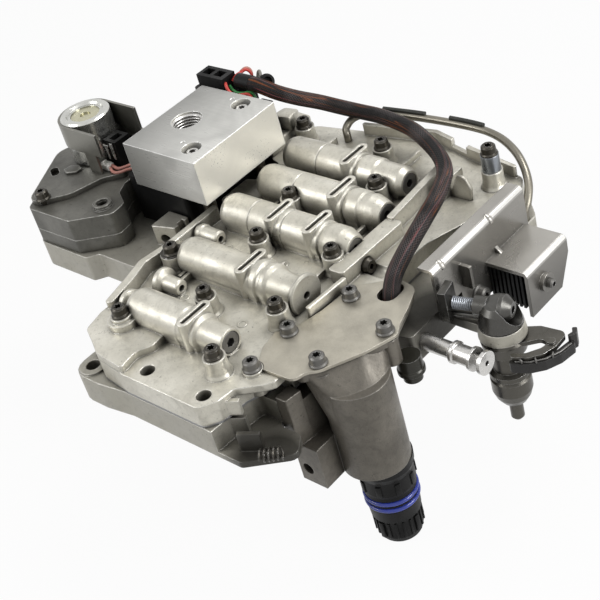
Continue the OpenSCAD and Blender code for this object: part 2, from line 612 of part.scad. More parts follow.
// Governor group
governor_z = plate_t + governor_base_t;
governor_top = plate_t + governor_h;
retainer_top = governor_top + retainer_t;
ring_boss = [-148.6, 29];
module governor_base() color("gray") slab(governor_outline, plate_t, governor_base_t);
module governor_body() color("darkgray") difference() {
    union() {
        slab(governor_outline, governor_z, governor_h - governor_base_t);
        at(ring_boss, governor_top - sink) cylinder(r = 7, h = 1.6 + sink);
    }
    at(ring_boss, governor_top - 12) cylinder(r = 4.2, h = 15);
    at(solenoid_axis, governor_top - 10) cylinder(r = 9, h = 11);
    at([-196, 14], governor_top - 14) cylinder(r = shank_r + free_gap, h = 15);
}
module retainer_plate() color("darkgray") difference() {
    slab(retainer_outline, governor_top, retainer_t);
    at([-196, 14]) screw_hole(retainer_top, retainer_t + sink);
    translate([-216, 42, governor_top - sink]) rotate(60) stadium(12, 6, retainer_t + 2 * sink);
    at(solenoid_axis, governor_top - sink) cylinder(r = 9, h = retainer_t + 2 * sink);
}
module retainer_screw() color("darkslategray") at([-196, 14], retainer_top) screw(14);
can_top = retainer_top + can_h;
module solenoid_can() color("silver") at(solenoid_axis, retainer_top) difference() {
    rotate_extrude() polygon([
        [0, -8], [8.6, -8], [8.6, 0], [can_r - 1, 0], [can_r, 1.2], [can_r, can_h - 1.2], [can_r - 1.2,
        can_h],
        [can_r - 4.5, can_h], [can_r - 5.5, can_h - 1.6], [0, can_h - 1.6]]);
    translate([0, 0, can_h - 5]) cylinder(r = 11, h = 8);
}
module solenoid_core() color("darkkhaki") at(solenoid_axis, can_top - 5) difference() {
    cylinder(r = 11 - run_gap, h = 2.6);
    translate([0, 0, 1.4]) cylinder(r = 4, h = 4);
}
strap_r = can_r + run_gap * 2;
strap_z = can_top - 1.5 - strap_w;
leg = 33;
module strap_ring(r) {
    cylinder(r = r, h = strap_w);
    translate([0, -r, 0]) cube([leg, 2 * r, strap_w]);
}
module solenoid_strap() color("dimgray") at(solenoid_axis, strap_z) {
    difference() {
        strap_ring(strap_r + strap_t);
        translate([0, 0, -sink]) scale(1) {
            cylinder(r = strap_r, h = strap_w + 2 * sink);
            translate([0, -strap_r, 0]) cube([leg + 5, 2 * strap_r, strap_w + 2 * sink]);
        }
    }
    for (s = [-1, 1]) translate([14, s * (strap_r + strap_t / 2) - strap_t / 2, retainer_top - strap_z])
        cube([12, strap_t, strap_z - retainer_top + sink]);
}
module solenoid_plug() color("black") translate([-180, 67, retainer_top]) difference() {
    cube([13, 14, 20]);
    translate([4, 3, 12]) cube([6, 8, 9]);
}

// Adjusting bracket with its spring box
fold_z = deck_z + bracket_rise;
bracket_y = [60, 153];
box_y = 106.5;
box_back = box_y + box_len;
box_top = plate_t + 5;
box_x = bracket_x + bracket_t + box_reach;
box_low = -8;
bracket_hole_y = 95;
tab_y = 83;
module profile_y(y, len, pts) translate([0, y + len, 0]) rotate([90, 0,
    0]) linear_extrude(len) polygon(rounded(pts));
module adjust_bracket() color("silver") difference() {
    union() {
        profile_y(bracket_y[0], bracket_y[1] - bracket_y[0], [
            [bracket_x, 1, 0.4], [bracket_x + bracket_t, 1, 0.4], [bracket_x + bracket_t, fold_z, 3.4],
            [bracket_x - 9, fold_z, 0.4], [bracket_x - 9, fold_z - bracket_t, 0.4], [bracket_x,
            fold_z - bracket_t, 1]]);
        profile_y(box_y, box_len, [
            [bracket_x + 0.5, box_top - bracket_t, 0.4], [box_x - bracket_t, box_top - bracket_t, 1],
            [box_x - bracket_t, box_low, 0.4], [box_x, box_low, 0.4], [box_x, box_top, 3.4],
            [bracket_x + 0.5, box_top, 0.4]]);
        along_x(regulator_axis[0], regulator_axis[1], box_x - 0.4) cylinder(r = 6, h = 3.4);
        translate([bracket_x + 1, tab_y, 24]) cube([9, bracket_t, 16]);
    }
    along_x(regulator_axis[0], regulator_axis[1], bracket_x - sink) cylinder(r = regulator_r + 4,
        h = bracket_t + 2 * sink);
    along_x(regulator_axis[0], regulator_axis[1], box_x - 4) cylinder(r = 3 + run_gap, h = 10);
    translate([box_x - 6, box_back - 11, box_low]) rotate([62, 0, 0]) translate([0, -20,
        -40]) cube([12, 80, 40]);
    translate([bracket_x - sink, bracket_y[0] - 1, -1]) cube([6, 22, arm_z[1] + 2]);
    along_x(bracket_hole_y, plate_t / 2, bracket_x - sink) cylinder(r = shank_r + free_gap, h = 6);
}
// Black pleated boot in the open end of the box
boot_pitch = 3.2;
module spring_boot() color("black") {
    start = bracket_x + bracket_t + free_gap;
    reach = box_reach - bracket_t - 2 * free_gap - 1;
    translate([start, box_y + 4, box_low + 4]) cube([reach, 2.4, box_top - bracket_t - box_low - 4.05]);
    for (x = [0:boot_pitch:reach - 1.8]) translate([start + x, box_y + 1.6, box_low + 4]) cube([1.7,
        3.4, box_top - bracket_t - box_low - 5]);
}
module bracket_screws() color("gray") along_x(bracket_hole_y, plate_t / 2,
    bracket_x + bracket_t) screw(bracket_t + 8);
module adjusting_screw() color("gray") along_x(regulator_axis[0], regulator_axis[1],
    box_x - 10) difference() {
    rotate_extrude() polygon([
        [0, 0], [8, 0], [8, 2.4], [3, 2.4], [3, 16], [2.2, 17], [0, 17]]);
    translate([0, 0, 13]) cylinder(r = 1.6, h = 6, $fn = 6);
}
seat_x = bracket_x + bracket_t + 3;
module regulator_valve() color("silver") along_x(regulator_axis[0],
    regulator_axis[1]) rotate_extrude() polygon([
    [0, 66], [regulator_r, 66], [regulator_r, 80], [regulator_r * 0.6, 81], [regulator_r * 0.6, 92],
    [regulator_r, 93],
    [regulator_r, seat_x], [8.4, seat_x], [8.4, seat_x + 2], [0, seat_x + 2]]);
module regulator_spring() color("dimgray") {
    wire = 1.1;
    start = seat_x + 2 + free_gap + wire;
    along_x(regulator_axis[0], regulator_axis[1], start)
        sweep(coil(6.6, box_x - 10 - free_gap - wire - start, 3, 14), wire, 7);
}

// Selector shaft, lever and comb
lever_t = 3;
lever_z = manual_z - lever_t / 2;
hub_r = 14;
hub_top = arm_z[0] - 0.2 - free_gap;
hub_low = lever_z - comb_h;
pin_at = selector_axis - [0, drive_arm];
finger_t = 2.6;
stub_pin_r = 3;
manual_groove = 2 * drive_pin_r + 1.2;
// Lever arm with its window, and the comb band under it, measured from the selector axis
lever_arm = [
    [4, 9, 3], [16, 15.5, 4], [30, 17, 4], [33, 14.5, 3], [33.4, 4, 4], [30.6, -5, 4], [24.5, -11.5,
    4], [15.5, -15.4, 1.5],
    [13.5, -12.4, 1], [21, -8.6, 3], [26.5, -1, 4], [28, 5, 3], [22, 5.6, 3], [11.4, -4.5, 2]];
comb_band = [
    [37, 17.5, 1.5], [39.6, 13, 1.5], [37.6, 2, 6], [33, -7, 6], [26, -13.8, 6], [15.5, -18, 2], [14,
    -14.8, 1.2],
    [23.6, -10.8, 5], [29.6, -4, 5], [33.6, 4.6, 5], [35.2, 13.4, 1.5]];
// Hook on the comb's far end
comb_hook = [[33.6, 20.5, 1], [36.4, 22, 1], [38.6, 17.6, 1], [37, 13, 1], [34.8, 13.4, 1], [36, 17.2,
    1]];
module manual_lever() color("gray") difference() {
    union() {
        at(selector_axis) rotate_extrude() polygon([
            [0, -shaft_drop], [2.6, -shaft_drop], [4.2, -shaft_drop + 2], [4.2, -shaft_drop + 15], [8,
            -shaft_drop + 16.4],
            [shaft_body_r - 1.6, -shaft_drop + 21], [shaft_body_r, -shaft_drop + 26], [shaft_body_r,
            -shaft_drop + 35],
            [shaft_body_r - 1.4, -shaft_drop + 36.4], [shaft_body_r - 1.4, -shaft_drop + 37.4],
            [shaft_body_r, -shaft_drop + 38],
            [shaft_body_r, -shaft_drop + 41], [shaft_body_r - 3, -shaft_drop + 42.4],
            [shaft_body_r - 3, hub_low - 2],
            [hub_r - 1, hub_low], [hub_r, lever_z + 1], [hub_r - 1.6, hub_top], [spindle_r, hub_top],
            [spindle_r, arm_boss_z], [0, arm_boss_z]]);
        at(selector_axis, lever_z) slab(lever_arm, 0, lever_t);
        translate([selector_axis[0] - finger_t / 2, pin_at[1], lever_z]) cube([finger_t,
            drive_arm - hub_r + 3, lever_t]);
        at(pin_at, lever_z) cylinder(r = drive_pin_r, h = lever_t);
        at(selector_axis + [29, 6], lever_z + 1) cylinder(r = 2.6, h = lever_t + 0.2);
    }
    at(selector_axis, arm_boss_z - 10) cylinder(r = stub_pin_r + run_gap, h = 11);
}
module selector_comb() color("black") at(selector_axis, lever_z - comb_h) {
    slab(comb_band, 0, comb_h);
    slab(comb_hook, 0.5, comb_h + 4);
}

// Throttle lever with its clamp bolt, turned from the X direction as the photo shows it
throttle_turn = 14;
throttle_z = arm_boss_z + free_gap;
bolt_z = throttle_z + 10.4;
bolt_r = 3.5;
bolt_head_r = 8.6;
yoke_r = 6;
yoke_x = [-14, 2];
bell_r = 13.4;
bell_h = 15;
nut_x = [-34, -29];
nut_w = 13;
module throttle_lever() color("gray") at(selector_axis) rotate(throttle_turn) difference() {
    union() {
        translate([0, 0, throttle_z]) rotate_extrude() polygon([
            [0, -9], [stub_pin_r, -9], [stub_pin_r, 0], [bell_r - 0.4, 0], [bell_r, 0.5],
            [bell_r - 2.4, bell_h - 4],
            [bell_r - 5, bell_h - 0.6], [bell_r - 7, bell_h], [0, bell_h]]);
        along_x(0, bolt_z, yoke_x[0]) cylinder(r = yoke_r, h = 8);
        along_x(0, bolt_z - 8.2, nut_x[1] + run_gap) cylinder(r = 1.7, h = 24);
    }
    along_x(0, bolt_z, yoke_x[0] - sink) cylinder(r = bolt_r + run_gap, h = 40);
    along_x(0, bolt_z, yoke_x[1]) cylinder(r = bolt_head_r + free_gap, h = 30);
}
module clamp_bolt() color("slategray") at(selector_axis) rotate(throttle_turn) along_x(0,
    bolt_z) difference() {
    rotate_extrude() polygon([
        [0, -37], [bolt_r - 0.6, -37], [bolt_r, -36], [bolt_r, yoke_x[1]], [bolt_head_r, yoke_x[1]],
        [bolt_head_r, yoke_x[1] + 2.4], [4.6, yoke_x[1] + 7], [0, yoke_x[1] + 7]]);
    translate([0, 0, yoke_x[1] + 3.4]) cylinder(r = 2.6, h = 8, $fn = 6);
}
module clamp_nut() color("slategray") at(selector_axis) rotate(throttle_turn) difference() {
    translate([nut_x[0], -nut_w / 2, throttle_z]) cube([nut_x[1] - nut_x[0], nut_w, 21]);
    along_x(0, bolt_z, nut_x[0] - sink) cylinder(r = bolt_r + run_gap, h = 8);
}

// Manual valve along its bore
groove_x = selector_axis[0] - manual_groove / 2;
module manual_valve() color("white") along_x(manual_y, manual_z) difference() {
    rotate_extrude() polygon([
        [0, 57], [manual_r, 57], [manual_r, 66], [3.4, 67], [3.4, 78], [manual_r, 79], [manual_r,
        groove_x - 17],
        [4.2, groove_x - 16], [manual_flange_r - 0.4, groove_x - 15.4], [manual_flange_r - 0.4,
        groove_x - 13.4],
        [manual_flange_r - 1.5, groove_x - 13], [manual_flange_r - 1.5, groove_x - 2.4],
        [manual_flange_r, groove_x - 2],
        [manual_flange_r, groove_x],
        [3.2, groove_x], [3.2, groove_x + manual_groove], [manual_flange_r, groove_x + manual_groove],
        [manual_flange_r, groove_x + manual_groove + 2.5], [0, groove_x + manual_groove + 2.5]]);
    translate([0, 0, groove_x + manual_groove - 3]) cylinder(r = 1.6, h = 8);
}

// Harness route and boost tube route
harness_route = [
    harness_start, harness_start + [5, 0, 0], [-87, 147.5, 85.5], [-82, 153, 79.5], [-76, 163, 71],
        [-66, 174, 63], [-53, 180, 58],
    [-37, 182.5, 56], [-20, 182.5, 56], [-2, 180, 56], [17, 174, 57], [38, 163, 58], [56, 151, 59],
    [69, 138, 60],
    [77, 123, 60], [82, 109, 59.5], [85.5, 94, 58], [87.5, 78, 54], [88.6, 66, 50], [89.8, 55.6, 45.7],
    [90.7, 49.4, 39.8],
    [91, 46.6, 33], [91, 46.2, 27]];
tube_route = [
    [-46, 173, deck_z + 0.05], [-46, 173, deck_z + 5], [-48, 176, 45], [-46, 184, 48.5], [-36, 193,
    49], [-15, 197, 49], [5, 199.5, 49],
    [25, 201, 49], [44, 201.4, 49], [58, 200, 49], [72, 196, 48.4], [86, 189, 46.4], [97, 181, 42.5],
    [104.6, 173, 37],
    [108.4, 165, 31], [109, 160, 26], [109, 159, plate_t + 2], [109, 159, plate_t + 0.05]];
module harness_sleeve() color("#3a2a24") sweep(harness_route, harness_d / 2, 12);
module boost_tube() color("#444444") sweep(tube_route, tube_d / 2, 10);

// Names of the pieces

transfer_plate();
separator_plate();
upper_housing();
shift_valve_1();
shift_valve_2();
shift_valve_3();
shift_valve_4();
shift_valve_5();
valve_spring_1();
valve_spring_2();
valve_spring_3();
valve_spring_4();
valve_spring_5();
end_plugs();
end_disc();
housing_screws();
washer_bolt();
spacer_bolt();
spacer_sleeve();
cover_screws();
wall_plug();
cover_plate();
connector_tower();
tower_cap();
case_connector();
connector_seals();
filter_block();
block_screws();
solenoid_base();
block_posts();
harness_plug_a();
harness_plug_b();
governor_base();
governor_body();
retainer_plate();
retainer_screw();
solenoid_can();
solenoid_core();
solenoid_strap();
solenoid_plug();
adjust_bracket();
spring_boot();
bracket_screws();
adjusting_screw();
regulator_valve();
regulator_spring();
manual_lever();
selector_comb();
throttle_lever();
clamp_bolt();
clamp_nut();
manual_valve();
harness_sleeve();
boost_tube();
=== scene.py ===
"""Dresses the transmission valve body with its finishes, its harness and its small parts."""

import math

import bmesh
import bpy
from bpy.props import FloatProperty, FloatVectorProperty, PointerProperty
from mathutils import Matrix, Vector


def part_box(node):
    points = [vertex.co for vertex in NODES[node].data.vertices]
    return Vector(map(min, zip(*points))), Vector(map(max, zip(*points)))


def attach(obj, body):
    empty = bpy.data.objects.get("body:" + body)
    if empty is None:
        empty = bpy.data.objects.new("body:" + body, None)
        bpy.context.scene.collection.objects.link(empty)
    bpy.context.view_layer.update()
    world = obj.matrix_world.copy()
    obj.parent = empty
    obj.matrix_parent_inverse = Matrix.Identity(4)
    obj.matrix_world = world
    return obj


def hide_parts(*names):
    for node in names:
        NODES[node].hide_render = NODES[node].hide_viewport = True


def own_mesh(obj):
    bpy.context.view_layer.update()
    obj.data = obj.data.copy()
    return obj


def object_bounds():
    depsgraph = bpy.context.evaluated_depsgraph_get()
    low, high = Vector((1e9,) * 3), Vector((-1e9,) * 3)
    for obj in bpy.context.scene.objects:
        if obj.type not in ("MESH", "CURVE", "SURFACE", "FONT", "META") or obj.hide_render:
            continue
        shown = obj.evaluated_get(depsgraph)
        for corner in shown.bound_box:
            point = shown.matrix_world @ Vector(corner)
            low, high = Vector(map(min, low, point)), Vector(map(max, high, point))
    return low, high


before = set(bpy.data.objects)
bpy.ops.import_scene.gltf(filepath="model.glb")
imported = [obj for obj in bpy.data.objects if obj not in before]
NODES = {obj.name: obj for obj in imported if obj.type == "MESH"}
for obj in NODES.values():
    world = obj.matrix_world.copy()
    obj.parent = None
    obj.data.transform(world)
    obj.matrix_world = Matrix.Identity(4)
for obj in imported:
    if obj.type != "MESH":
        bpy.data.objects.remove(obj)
CAD_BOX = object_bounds()
MM = 0.001

bl_info = {
    "name": "Transmission valve body",
    "version": (1, 0, 0),
    "blender": (4, 5, 0),
    "location": "3D View > Sidebar > Valve body",
    "description": "Finishes, harness and small fittings of a transmission valve body, with a plain studio",
    "category": "Object",
}

# Routes of the part's source, in millimetres
HARNESS_ROUTE = [
    (-98, 146, 88), (-93, 146, 88), (-87, 147.5, 85.5), (-82, 153, 79.5), (-76, 163, 71), (-66, 174, 63),
    (-53, 180, 58), (-37, 182.5, 56), (-20, 182.5, 56), (-2, 180, 56), (17, 174, 57), (38, 163, 58),
    (56, 151, 59), (69, 138, 60), (77, 123, 60), (82, 109, 59.5), (85.5, 94, 58), (87.5, 78, 54),
    (88.6, 66, 50), (89.8, 55.6, 45.7), (90.7, 49.4, 39.8), (91, 46.6, 33), (91, 46.2, 27)]
TUBE_ROUTE = [
    (-46, 173, 36.05), (-46, 173, 41), (-48, 176, 45), (-46, 184, 48.5), (-36, 193, 49), (-15, 197, 49),
    (5, 199.5, 49), (25, 201, 49), (44, 201.4, 49), (58, 200, 49), (72, 196, 48.4), (86, 189, 46.4),
    (97, 181, 42.5), (104.6, 173, 37), (108.4, 165, 31), (109, 160, 26), (109, 159, 22), (109, 159, 20.05)]
# Loose wires, in millimetres, by name: finish and route
WIRES = {
    "red_wire_back": ("red_lead", [
        (-117.0, 145, 87), (-115.6, 148.5, 89.8), (-114.6, 152.5, 90.2), (-113, 156, 90.8),
        (-110.6, 157.4, 88.8), (-109.2, 157, 86), (-108.8, 155, 82.4), (-108.6, 152.1, 76)]),
    "rose_wire_back": ("rose_lead", [
        (-117.0, 147, 85), (-116.4, 151, 88), (-116, 155, 90), (-115, 158.6, 90.4), (-112.8, 160, 88.4),
        (-111.6, 159, 84.6), (-111.2, 156, 81.4), (-111, 152.1, 76.5)]),
    "grey_wire": ("grey_lead", [
        (-104.6, 152.1, 76.5), (-104.4, 155, 81), (-104.2, 157.6, 85.5), (-103.4, 158.6, 89),
        (-101.4, 158.2, 90.4), (-99.4, 156.6, 88.8), (-98.4, 155, 86.4), (-98, 153.4, 83.4),
        (-97.9, 152.4, 79.8)]),
    "red_wire_front": ("red_lead", [
        (-117.0, 138.5, 89), (-114.8, 136.6, 88), (-112.4, 135.6, 85.4), (-109, 135.4, 83.4),
        (-104, 136.4, 83), (-100, 138.4, 83.4), (-97, 139.6, 83), (-94.6, 139, 80.6), (-93.4, 137.4, 77)]),
    "green_wire": ("green_lead", [
        (-117.0, 141.5, 85), (-114.6, 140.4, 84.6), (-112, 139, 84.2), (-107, 138.4, 83.2),
        (-102, 139.2, 83.4), (-98.4, 141.4, 83.6), (-95.6, 142.6, 81.6), (-94, 142.2, 74)]),
    "clip_wire_low": ("rose_lead", [
        (-172.4, 60.4, 54), (-169, 58.6, 53.2), (-164.6, 58.2, 53.2), (-160, 60, 54), (-156.6, 63, 54.8),
        (-153.6, 66.6, 53.6), (-151.8, 70, 50), (-151, 72.4, 45)]),
    "clip_wire_high": ("rose_lead", [
        (-172.4, 62.6, 55), (-168.6, 61.8, 54.4), (-164.4, 61.8, 54.6), (-160, 64, 55.6), (-156.6, 67, 56.2),
        (-153.6, 70.2, 54.8), (-151.8, 73.4, 51), (-151, 75.6, 46)]),
}
# Stretches of the boost tube that carry a rubber strip, as starts and ends along X
STRIP_SPANS = ((-31, 7), (25, 54))
# Springs by node: the joint that shortens each, its travel and wire in millimetres, and its turns
SPRINGS = {
    **{"valve_spring_%d" % i: ("shift_slide_%d" % i, 8.3, 1.4, 5) for i in range(1, 6)},
    "regulator_spring": ("regulator_slide", 3.2, 2.2, 3),
}
# Places of the part's source, in millimetres
SELECTOR_AXIS = Vector((152.5, 68, 0))
THROTTLE_TURN = math.radians(14)
BOLT_HEIGHT = 31.1
PORT_DEPTH = 18
PORT_RADIUS = 11
DECK_HEIGHT = 36
RING_BOSS = (-148.6, 29)
# Keys and grips round the case connector
RIB_COUNT = 20
GRIP_COUNT = 9
# Point that the lamps face, in metres
LAMP_TARGET = Vector((-0.04, 0.05, 0.03))
# The photograph's view in pixels: focal length, width, and how far left of the middle the origin lies
FOCAL_PX = 1333
PHOTO_PX = 600
ORIGIN_LEFT_PX = 70
SENSOR_WIDTH = 36


def colour(label, note, default):
    """A colour property."""
    return FloatVectorProperty(
        name=label, description=note, default=default, subtype="COLOR", size=3, min=0, max=1)


def length(label, note, default):
    """A length property, in metres."""
    return FloatProperty(name=label, description=note, default=default, unit="LENGTH", precision=5)


def angle(label, note, degrees):
    """An angle property."""
    return FloatProperty(name=label, description=note, default=math.radians(degrees), subtype="ANGLE")


def power(label, note, default):
    """A property for a lamp's power."""
    return FloatProperty(name=label, description=note, default=default, unit="POWER")


class ValveBodyFinishes(bpy.types.PropertyGroup):
    """Colours of the finishes, how bright their worn edges and painted edge highlights are, and their painted
    shade
    """

    cast_pale: colour("Casting, pale", "Clean skin of the upper casting", (0.66, 0.637, 0.560))
    cast_deep: colour("Casting, deep", "Stained skin of the upper casting", (0.47, 0.45, 0.385))
    plate_pale: colour("Transfer plate", "Skin of the lower casting", (0.37, 0.355, 0.31))
    governor: colour("Governor", "Skin of the governor castings", (0.140, 0.136, 0.119))
    tower: colour("Tower", "Skin of the connector tower", (0.155, 0.141, 0.118))
    billet: colour("Milled block", "Freshly milled aluminium", (0.66, 0.655, 0.62))
    zinc: colour("Zinc sheet", "Plated sheet of the bracket", (0.40, 0.385, 0.355))
    cover: colour("Cover", "Steel of the cover plate", (0.43, 0.403, 0.338))
    seal: colour("Seals", "Rubber of the connector seals", (0.026, 0.045, 0.30))
    # Colour of the painted shade in corners and of the painted shadows at given places; partly dirt.
    grime_and_shade: colour("Grime", "Oil and dust in the corners", (0.022, 0.020, 0.016))
    edge_radius: length("Cast edge", "Rounding of the casting's edges", 1.2 * MM)
    # Brightness of the worn edges, which is partly painted highlight.
    wear_and_highlight: FloatProperty(
        name="Wear", description="How bright the rubbed edges are", default=0.6, subtype="FACTOR")


class ValveBodySizes(bpy.types.PropertyGroup):
    """Sizes of the dressed pieces"""

    harness: length("Harness", "Diameter of the braided sleeve", 10.6 * MM)
    tube: length("Boost tube", "Diameter of the steel tube", 5.48 * MM)
    lead: length("Lead", "Diameter of a loose wire", 2.3 * MM)


class ValveBodyStudio(bpy.types.PropertyGroup):
    """Camera and light"""

    turn: angle("Turn", "Camera's turn about the object", 51.2)
    rise: angle("Rise", "Camera's height angle", 36.2)
    roll: angle("Roll", "Camera's roll", -16.6)
    distance: length("Distance", "From the camera to the middle of the deck", 0.820)
    key: power("Key light", "Power of the main lamp", 6.4)
    side: power("Side light", "Power of the lamp on the right", 9.0)
    fill: power("Fill light", "Power of the lamp on the left", 7.0)
    sky: FloatProperty(name="Room light", description="Strength of the room's light", default=0.27)


class Finish:
    """A material under construction: its node tree with short calls for the nodes."""

    def __init__(self, name):
        self.material = bpy.data.materials.new(name)
        self.material.use_nodes = True
        self.tree = self.material.node_tree
        self.tree.nodes.clear()
        out = self.tree.nodes.new("ShaderNodeOutputMaterial")
        self.shader = self.tree.nodes.new("ShaderNodeBsdfPrincipled")
        self.join(self.shader.outputs[0], out.inputs[0])
        self.coords = self.tree.nodes.new("ShaderNodeTexCoord")
        self.place = self.coords.outputs["Object"]

    def join(self, start, end):
        """Links two sockets, or sets the second where the first is a plain value."""
        if isinstance(start, bpy.types.NodeSocket):
            self.tree.links.new(start, end)
        else:
            end.default_value = start

    def mapped(self, scale, turn=(0, 0, 0), source=None):
        """Coordinates stretched and turned."""
        node = self.tree.nodes.new("ShaderNodeMapping")
        self.join(source or self.place, node.inputs["Vector"])
        node.inputs["Scale"].default_value = scale
        node.inputs["Rotation"].default_value = turn
        return node.outputs[0]

    def noise(self, scale, detail=3.0, rough=0.55, source=None, twist=0.0):
        """A noise pattern's strength."""
        node = self.tree.nodes.new("ShaderNodeTexNoise")
        self.join(source or self.place, node.inputs["Vector"])
        node.inputs["Scale"].default_value = scale
        node.inputs["Detail"].default_value = detail
        node.inputs["Roughness"].default_value = rough
        node.inputs["Distortion"].default_value = twist
        return node.outputs[0]

    def span(self, value, low, high, to_low=0.0, to_high=1.0):
        """A value's range mapped to another, clamped."""
        node = self.tree.nodes.new("ShaderNodeMapRange")
        self.join(value, node.inputs["Value"])
        for key, number in (("From Min", low), ("From Max", high), ("To Min", to_low), ("To Max", to_high)):
            node.inputs[key].default_value = number
        return node.outputs[0]

    def blend(self, share, first, second):
        """Two colours mixed."""
        node = self.tree.nodes.new("ShaderNodeMix")
        node.data_type = "RGBA"
        self.join(share, node.inputs["Factor"])
        for value, key in ((first, "A"), (second, "B")):
            socket = [s for s in node.inputs if s.name == key and s.type == "RGBA"][0]
            if isinstance(value, bpy.types.NodeSocket):
                self.join(value, socket)
            else:
                socket.default_value = (*value[:3], 1)
        return [s for s in node.outputs if s.type == "RGBA"][0]

    def sum(self, kind, first, second):
        """Arithmetic on two values."""
        node = self.tree.nodes.new("ShaderNodeMath")
        node.operation = kind
        self.join(first, node.inputs[0])
        self.join(second, node.inputs[1])
        return node.outputs[0]

    def axis(self, source, key):
        """One component of a vector."""
        node = self.tree.nodes.new("ShaderNodeSeparateXYZ")
        self.join(source, node.inputs[0])
        return node.outputs[key]

    def facing(self, key):
        """One component of the surface's normal."""
        return self.axis(self.tree.nodes.new("ShaderNodeNewGeometry").outputs["Normal"], key)

    def rounded(self, radius):
        """Normal of edges that are rounded by a radius."""
        node = self.tree.nodes.new("ShaderNodeBevel")
        node.samples = 6
        node.inputs["Radius"].default_value = radius
        return node.outputs[0]

    def edges(self, rounded_normal):
        """Strong where the rounded normal leaves the true one, so along the edges."""
        real = self.tree.nodes.new("ShaderNodeNewGeometry")
        dot = self.tree.nodes.new("ShaderNodeVectorMath")
        dot.operation = "DOT_PRODUCT"
        self.join(rounded_normal, dot.inputs[0])
        self.join(real.outputs["True Normal"], dot.inputs[1])
        return self.span(dot.outputs["Value"], 0.985, 0.80)

    def open_sky(self, reach):
        """One on open faces and less in corners."""
        node = self.tree.nodes.new("ShaderNodeAmbientOcclusion")
        node.samples = 6
        node.inputs["Distance"].default_value = reach
        return node.outputs["AO"]

    def near(self, place, reach):
        """One at a place in millimetres, and nothing past a reach from it."""
        node = self.tree.nodes.new("ShaderNodeVectorMath")
        node.operation = "DISTANCE"
        self.join(self.place, node.inputs[0])
        node.inputs[1].default_value = Vector(place) * MM
        return self.span(node.outputs["Value"], 0.5 * reach * MM, reach * MM, 1.0, 0.0)

    def ramp(self, value, stops):
        """A colour from a list of places and colours."""
        node = self.tree.nodes.new("ShaderNodeValToRGB")
        marks = node.color_ramp.elements
        for mark, (place, tone) in zip(list(marks), (stops[0], stops[-1])):
            mark.position = place
            mark.color = (*tone, 1)
        for place, tone in stops[1:-1]:
            marks.new(place).color = (*tone, 1)
        self.join(value, node.inputs["Fac"])
        return node.outputs["Color"]

    def bump(self, height, strength, depth, normal=None):
        """Surface relief from a height pattern."""
        node = self.tree.nodes.new("ShaderNodeBump")
        node.inputs["Strength"].default_value = strength
        node.inputs["Distance"].default_value = depth
        self.join(height, node.inputs["Height"])
        if normal:
            self.join(normal, node.inputs["Normal"])
        return node.outputs[0]

    def done(self, skin, rough, normal, metal=0.0, **fixed):
        """Sets the shader's main sockets, and others that are the same all over."""
        self.join(skin, self.shader.inputs["Base Color"])
        self.join(rough, self.shader.inputs["Roughness"])
        if normal:
            self.join(normal, self.shader.inputs["Normal"])
        self.shader.inputs["Metallic"].default_value = metal
        for key, value in fixed.items():
            self.shader.inputs[key.replace("_", " ")].default_value = value
        return self.material


def settings(part):
    """One of the scene's groups of settings."""
    return getattr(bpy.context.scene, "valve_body_" + part)


def cast_finish(name, pale, deep, gloss=0.33, wear_and_highlight=1.0, corner_shade=1.0, shadow_spots=()):
    """Die-cast aluminium: mottled skin, fine grain, worn edges that also carry a painted highlight, painted
    shade in corners that is partly dirt, and painted shadows at given places.
    """
    look = settings("finishes")
    f = Finish(name)
    normal = f.rounded(look.edge_radius)
    clouds = f.noise(30, 5, 0.62)
    mottle = f.noise(170, 5, 0.72, twist=0.5)
    grains = f.noise(1100, 3, 0.65)
    skin = f.blend(f.span(clouds, 0.36, 0.64), deep, pale)
    skin = f.blend(f.span(mottle, 0.50, 0.70, 0.0, 0.45), skin, [c * 0.62 for c in deep])
    skin = f.blend(f.span(grains, 0.55, 0.78, 0.0, 0.40), skin, [c * 0.5 for c in deep])
    pores = f.noise(420, 3, 0.7)
    skin = f.blend(f.span(pores, 0.65, 0.72, 0.0, 0.7), skin, [c * 0.25 for c in deep])
    # Painted shade: the skin darkens in corners and creases at a wide and a near reach; partly dirt.
    wide_sky = f.open_sky(18 * MM)
    near_sky = f.open_sky(4 * MM)
    skin = f.blend(f.span(wide_sky, 0.08, 0.66, 0.92 * corner_shade, 0.0), skin, look.grime_and_shade)
    skin = f.blend(f.span(near_sky, 0.25, 0.80, 0.85 * corner_shade, 0.0), skin, look.grime_and_shade)
    # Worn edges, made lighter still by a painted highlight where they stand open.
    rubbed_and_highlit = f.sum("MULTIPLY", f.edges(normal), f.span(wide_sky, 0.35, 0.75))
    rubbed_and_highlit = f.sum("MULTIPLY", rubbed_and_highlit, f.span(f.noise(210, 3), 0.34, 0.6, 0.35, 1.0))
    skin = f.blend(f.sum("MULTIPLY", rubbed_and_highlit, look.wear_and_highlight * wear_and_highlight), skin, (0.88, 0.87, 0.83))
    # Painted shadow: the skin goes dark round given places.
    for place, reach in shadow_spots:
        skin = f.blend(f.sum("MULTIPLY", f.near(place, reach), 0.93), skin, look.grime_and_shade)
    rough = f.span(clouds, 0.3, 0.72, gloss + 0.12, gloss - 0.08)
    rough = f.sum("SUBTRACT", rough, f.sum("MULTIPLY", rubbed_and_highlit, 0.12))
    swell = f.bump(f.noise(95, 3), 0.36, 0.6 * MM, normal)
    swell = f.bump(mottle, 0.30, 0.45 * MM, swell)
    return f.done(skin, rough, f.bump(grains, 0.26, 0.30 * MM, swell), 0.5)


